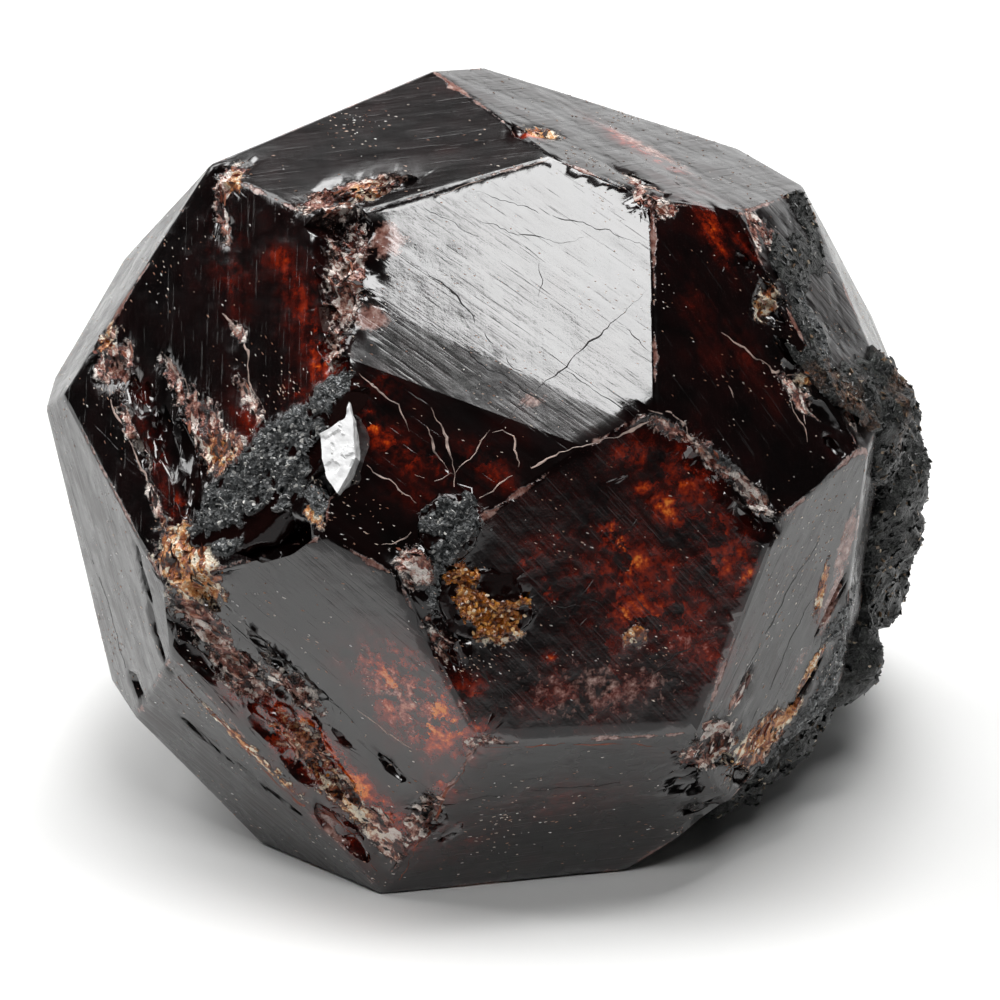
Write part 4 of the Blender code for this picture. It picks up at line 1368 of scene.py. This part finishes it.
def soft_light(name, bearing, rise, distance, sides, roll, power):
    """An area light that faces CENTRE and that the camera doesn't see."""
    lamp = bpy.data.lights.new(name, "AREA")
    lamp.shape = "RECTANGLE"
    lamp.size, lamp.size_y = sides
    lamp.energy = power
    light = bpy.data.objects.new(name, lamp)
    bpy.context.scene.collection.objects.link(light)
    away = direction(bearing, rise)
    light.location = CENTRE + distance * away
    light.rotation_mode = "QUATERNION"
    level = away.to_track_quat("Z", "Y")
    light.rotation_quaternion = level @ Quaternion((0, 0, 1), math.radians(roll))
    light.visible_camera = False


# Operators


class GARNET_OT_stage(bpy.types.Operator):
    """Makes the floor, the soft lights and the camera"""

    bl_idname = "garnet.stage"
    bl_label = "Stage"

    def execute(self, context):
        settings = context.scene.garnet_stage
        camera = bpy.data.objects.new("camera", bpy.data.cameras.new("camera"))
        context.scene.collection.objects.link(camera)
        right, up, back = view_axes()
        turn = Matrix((right, up, back)).transposed().to_4x4()
        camera.matrix_world = Matrix.Translation(camera_place()) @ turn
        camera.data.sensor_width = SENSOR
        camera.data.lens = LENS
        camera.data.clip_start = 0.01
        context.scene.camera = camera

        for name, place in LIGHTS.items():
            soft_light(name + "_light", *place, getattr(settings, name + "_power"))

        form = bmesh.new()
        side = settings.floor_side
        front = -settings.floor_front
        corners = ((-side, front), (side, front), (side, side), (-side, side))
        form.faces.new([form.verts.new((x, y, 0.0)) for x, y in corners])
        material, tree, shader = new_material("white_card_matt")
        shader.inputs["Base Color"].default_value = (*settings.card_colour, 1.0)
        shader.inputs["Roughness"].default_value = 0.7
        floor = to_piece(form, "floor", material)

        # The camera sees white. What the object mirrors is a pale card low down in a dark room.
        world = bpy.data.worlds.new("studio")
        context.scene.world = world
        world.use_nodes = True
        sky = world.node_tree
        background = sky.nodes["Background"]
        path = node(sky, "ShaderNodeLightPath").outputs["Is Camera Ray"]
        way = node(sky, "ShaderNodeTexCoord").outputs["Generated"]
        height = node(sky, "ShaderNodeSeparateXYZ", {}, {"Vector": way}).outputs["Z"]
        height = node(sky, MATH, {"operation": "MULTIPLY_ADD", 1: 0.5, 2: 0.5}, {0: height})
        room = node(sky, RAMP, {"stops": ((0.356, "#c6c6c6"), (0.367, "#1c1c1c"))}, {"Fac": height})
        mix = node(sky, MIX, {"data_type": "RGBA", 7: (1.0, 1.0, 1.0, 1.0)}, {0: path, 6: room})
        sky.links.new(mix.outputs[2], background.inputs["Color"])
        context.scene.view_settings.view_transform = "Standard"
        return {"FINISHED"}


class GARNET_OT_crystal(bpy.types.Operator):
    """Makes the crystal's fine mesh and its garnet material"""

    bl_idname = "garnet.crystal"
    bl_label = "Crystal"

    def execute(self, context):
        settings = context.scene.garnet_crystal
        form = shape_crystal(settings)
        material = garnet_material(settings.refraction)
        piece = to_piece(form, "garnet_faces", material, sharp_from=24)
        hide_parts("garnet_crystal")
        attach(piece, SPECIMEN)
        return {"FINISHED"}


class GARNET_OT_minerals(bpy.types.Operator):
    """Dresses the small minerals that are seated in the crystal's faces"""

    bl_idname = "garnet.minerals"
    bl_label = "Seated minerals"

    def execute(self, context):
        mica = grain_material("muscovite_flakes", MICA_TONES, 0.25)
        ground = ground_material("mica_schist_granular", MICA_GROUND, 3.4, 0.4)
        for name in ("mica_schist_patch", "small_mica_patch"):
            patch = seated_piece(name, name + "_ground", ground, 0.3, "mica")
            strew(patch, name + "_flakes", name, mica, **PATCH_FLAKES)
        crystal = bpy.data.objects["garnet_faces"]
        strew(crystal, "stuck_flakes", "mica_schist_patch", mica, **STUCK_FLAKES)
        mica_flake(flake_material("muscovite_cleaved", WHITE_FLAKE))
        rust = ground_material("goethite_crust", RUST_GROUND, 2.2, 0.3)
        crust = seated_piece("iron_oxide_crust", "rust_crust", rust, 0.5, "rust")
        grains = grain_material("goethite_grains", RUST_TONES, 0.22)
        strew(crust, "rust_grains", "iron_oxide_crust", grains, **CRUST_GRAINS)
        strew(crystal, "stuck_rust_grains", "iron_oxide_crust", grains, **RUST_GRAINS)
        return {"FINISHED"}


class GARNET_OT_splinters(bpy.types.Operator):
    """Strews splinters on the broken ground and fine specks over the crystal, their palest tones
    partly painted glints
    """

    bl_idname = "garnet.splinters"
    bl_label = "Splinters and specks"

    def execute(self, context):
        crystal = bpy.data.objects["garnet_faces"]
        splinter = grain_material("garnet_splinters", SPLINTER_AND_GLINT_TONES, 0.3)
        strew(crystal, "splinters", "garnet_crystal", splinter, **SPLINTERS)
        speck = grain_material("crushed_specks", SPECK_AND_GLINT_TONES, 0.4)
        strew(crystal, "specks", "garnet_crystal", speck, **SPECKS)
        return {"FINISHED"}


class GARNET_OT_veins(bpy.types.Operator):
    """Lays the healed cracks, the open cracks and the rust lines on the crystal"""

    bl_idname = "garnet.veins"
    bl_label = "Veins and cracks"

    def execute(self, context):
        surface = surface_of("garnet_faces")
        healed = vein_material("healed_crack", context.scene.garnet_crystal.vein_colour, 0.35)
        lay_lines(PALE_VEINS, surface, "pale_veins", healed, 10)
        opened = vein_material("open_crack", linear("#0f0908"), 0.6)
        lay_lines(DARK_CRACKS, surface, "dark_cracks", opened, 40)
        rusted = vein_material("rust_film", linear("#8c3d1c"), 0.5)
        lay_lines(RUST_VEINS, surface, "rust_veins", rusted, 70)
        return {"FINISHED"}


class GARNET_OT_schist(bpy.types.Operator):
    """Makes the lumpy schist on the crystal's right side"""

    bl_idname = "garnet.schist"
    bl_label = "Schist"

    def execute(self, context):
        settings = context.scene.garnet_schist
        form = merged_form("schist_matrix")
        refine(form, SCHIST_EDGE_LENGTH)
        crystal = surface_of("garnet_faces")
        form.normal_update()
        normals, distances = crystal_planes()
        for vert in form.verts:
            near, near_normal, _, gap = crystal.find_nearest(vert.co)
            if gap < SCHIST_CONTACT:
                vert.co = near - SCHIST_OVERLAP * near_normal
                continue
            lump = noise.fractal(vert.co / (1.2 * MM), 1.0, 2.0, 4)
            height = settings.lump_height * (1.5 * lump - 0.3)
            vert.co += height * vert.normal
            heights = normals @ np.array(vert.co - CENTRE) - distances
            owner = int(heights.argmax())
            film = min(1.0, max(0.0, (vert.co.z - FILM_FROM) / FILM_FADE))
            if heights[owner] > 0.0:
                vert.co -= 0.75 * film * float(heights[owner]) * Vector(normals[owner])
            keep_in_box(vert)
        cover = form.verts.layers.float.new("cover")
        rust = form.verts.layers.float.new("rust")
        for vert in form.verts:
            vert[cover] = 1.0
            off = (vert.co.z - WEATHERED_HEIGHT) / WEATHERED_REACH
            vert[rust] = max(0.0, 1.0 - off ** 2) * 0.5
        piece = to_piece(form, "schist_lumps", schist_material(), sharp_from=50)
        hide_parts("schist_matrix")
        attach(piece, SPECIMEN)
        flakes = grain_material("biotite_flakes", SCHIST_TONES, 0.35)
        strew(piece, "schist_flakes", "schist_matrix", flakes, **SCHIST_FLAKES)
        return {"FINISHED"}


class GARNET_PT_panel(bpy.types.Panel):
    """Lists the pieces of the specimen and the stage"""

    bl_idname = "GARNET_PT_panel"
    bl_label = "Garnet crystal"
    bl_space_type = "VIEW_3D"
    bl_region_type = "UI"
    bl_category = "Garnet"

    def draw(self, context):
        for group in ("garnet_crystal", "garnet_schist", "garnet_stage"):
            settings = getattr(context.scene, group)
            for name in settings.bl_rna.properties.keys():
                if name not in ("rna_type", "name"):
                    self.layout.prop(settings, name)
        for operator in OPERATORS:
            self.layout.operator(operator.bl_idname)


SETTINGS = {
    "garnet_crystal": GarnetCrystalSettings,
    "garnet_schist": GarnetSchistSettings,
    "garnet_stage": GarnetStageSettings,
}
OPERATORS = (
    GARNET_OT_stage,
    GARNET_OT_crystal,
    GARNET_OT_minerals,
    GARNET_OT_splinters,
    GARNET_OT_veins,
    GARNET_OT_schist,
)


def register():
    for group, settings in SETTINGS.items():
        bpy.utils.register_class(settings)
        setattr(bpy.types.Scene, group, PointerProperty(type=settings))
    for operator in OPERATORS:
        bpy.utils.register_class(operator)
    bpy.utils.register_class(GARNET_PT_panel)


def unregister():
    bpy.utils.unregister_class(GARNET_PT_panel)
    for operator in reversed(OPERATORS):
        bpy.utils.unregister_class(operator)
    for group, settings in SETTINGS.items():
        delattr(bpy.types.Scene, group)
        bpy.utils.unregister_class(settings)


def main():
    register()
    bpy.ops.garnet.stage()
    bpy.ops.garnet.crystal()
    bpy.ops.garnet.minerals()
    bpy.ops.garnet.splinters()
    bpy.ops.garnet.veins()
    bpy.ops.garnet.schist()


if __name__ == "__main__":
    main()
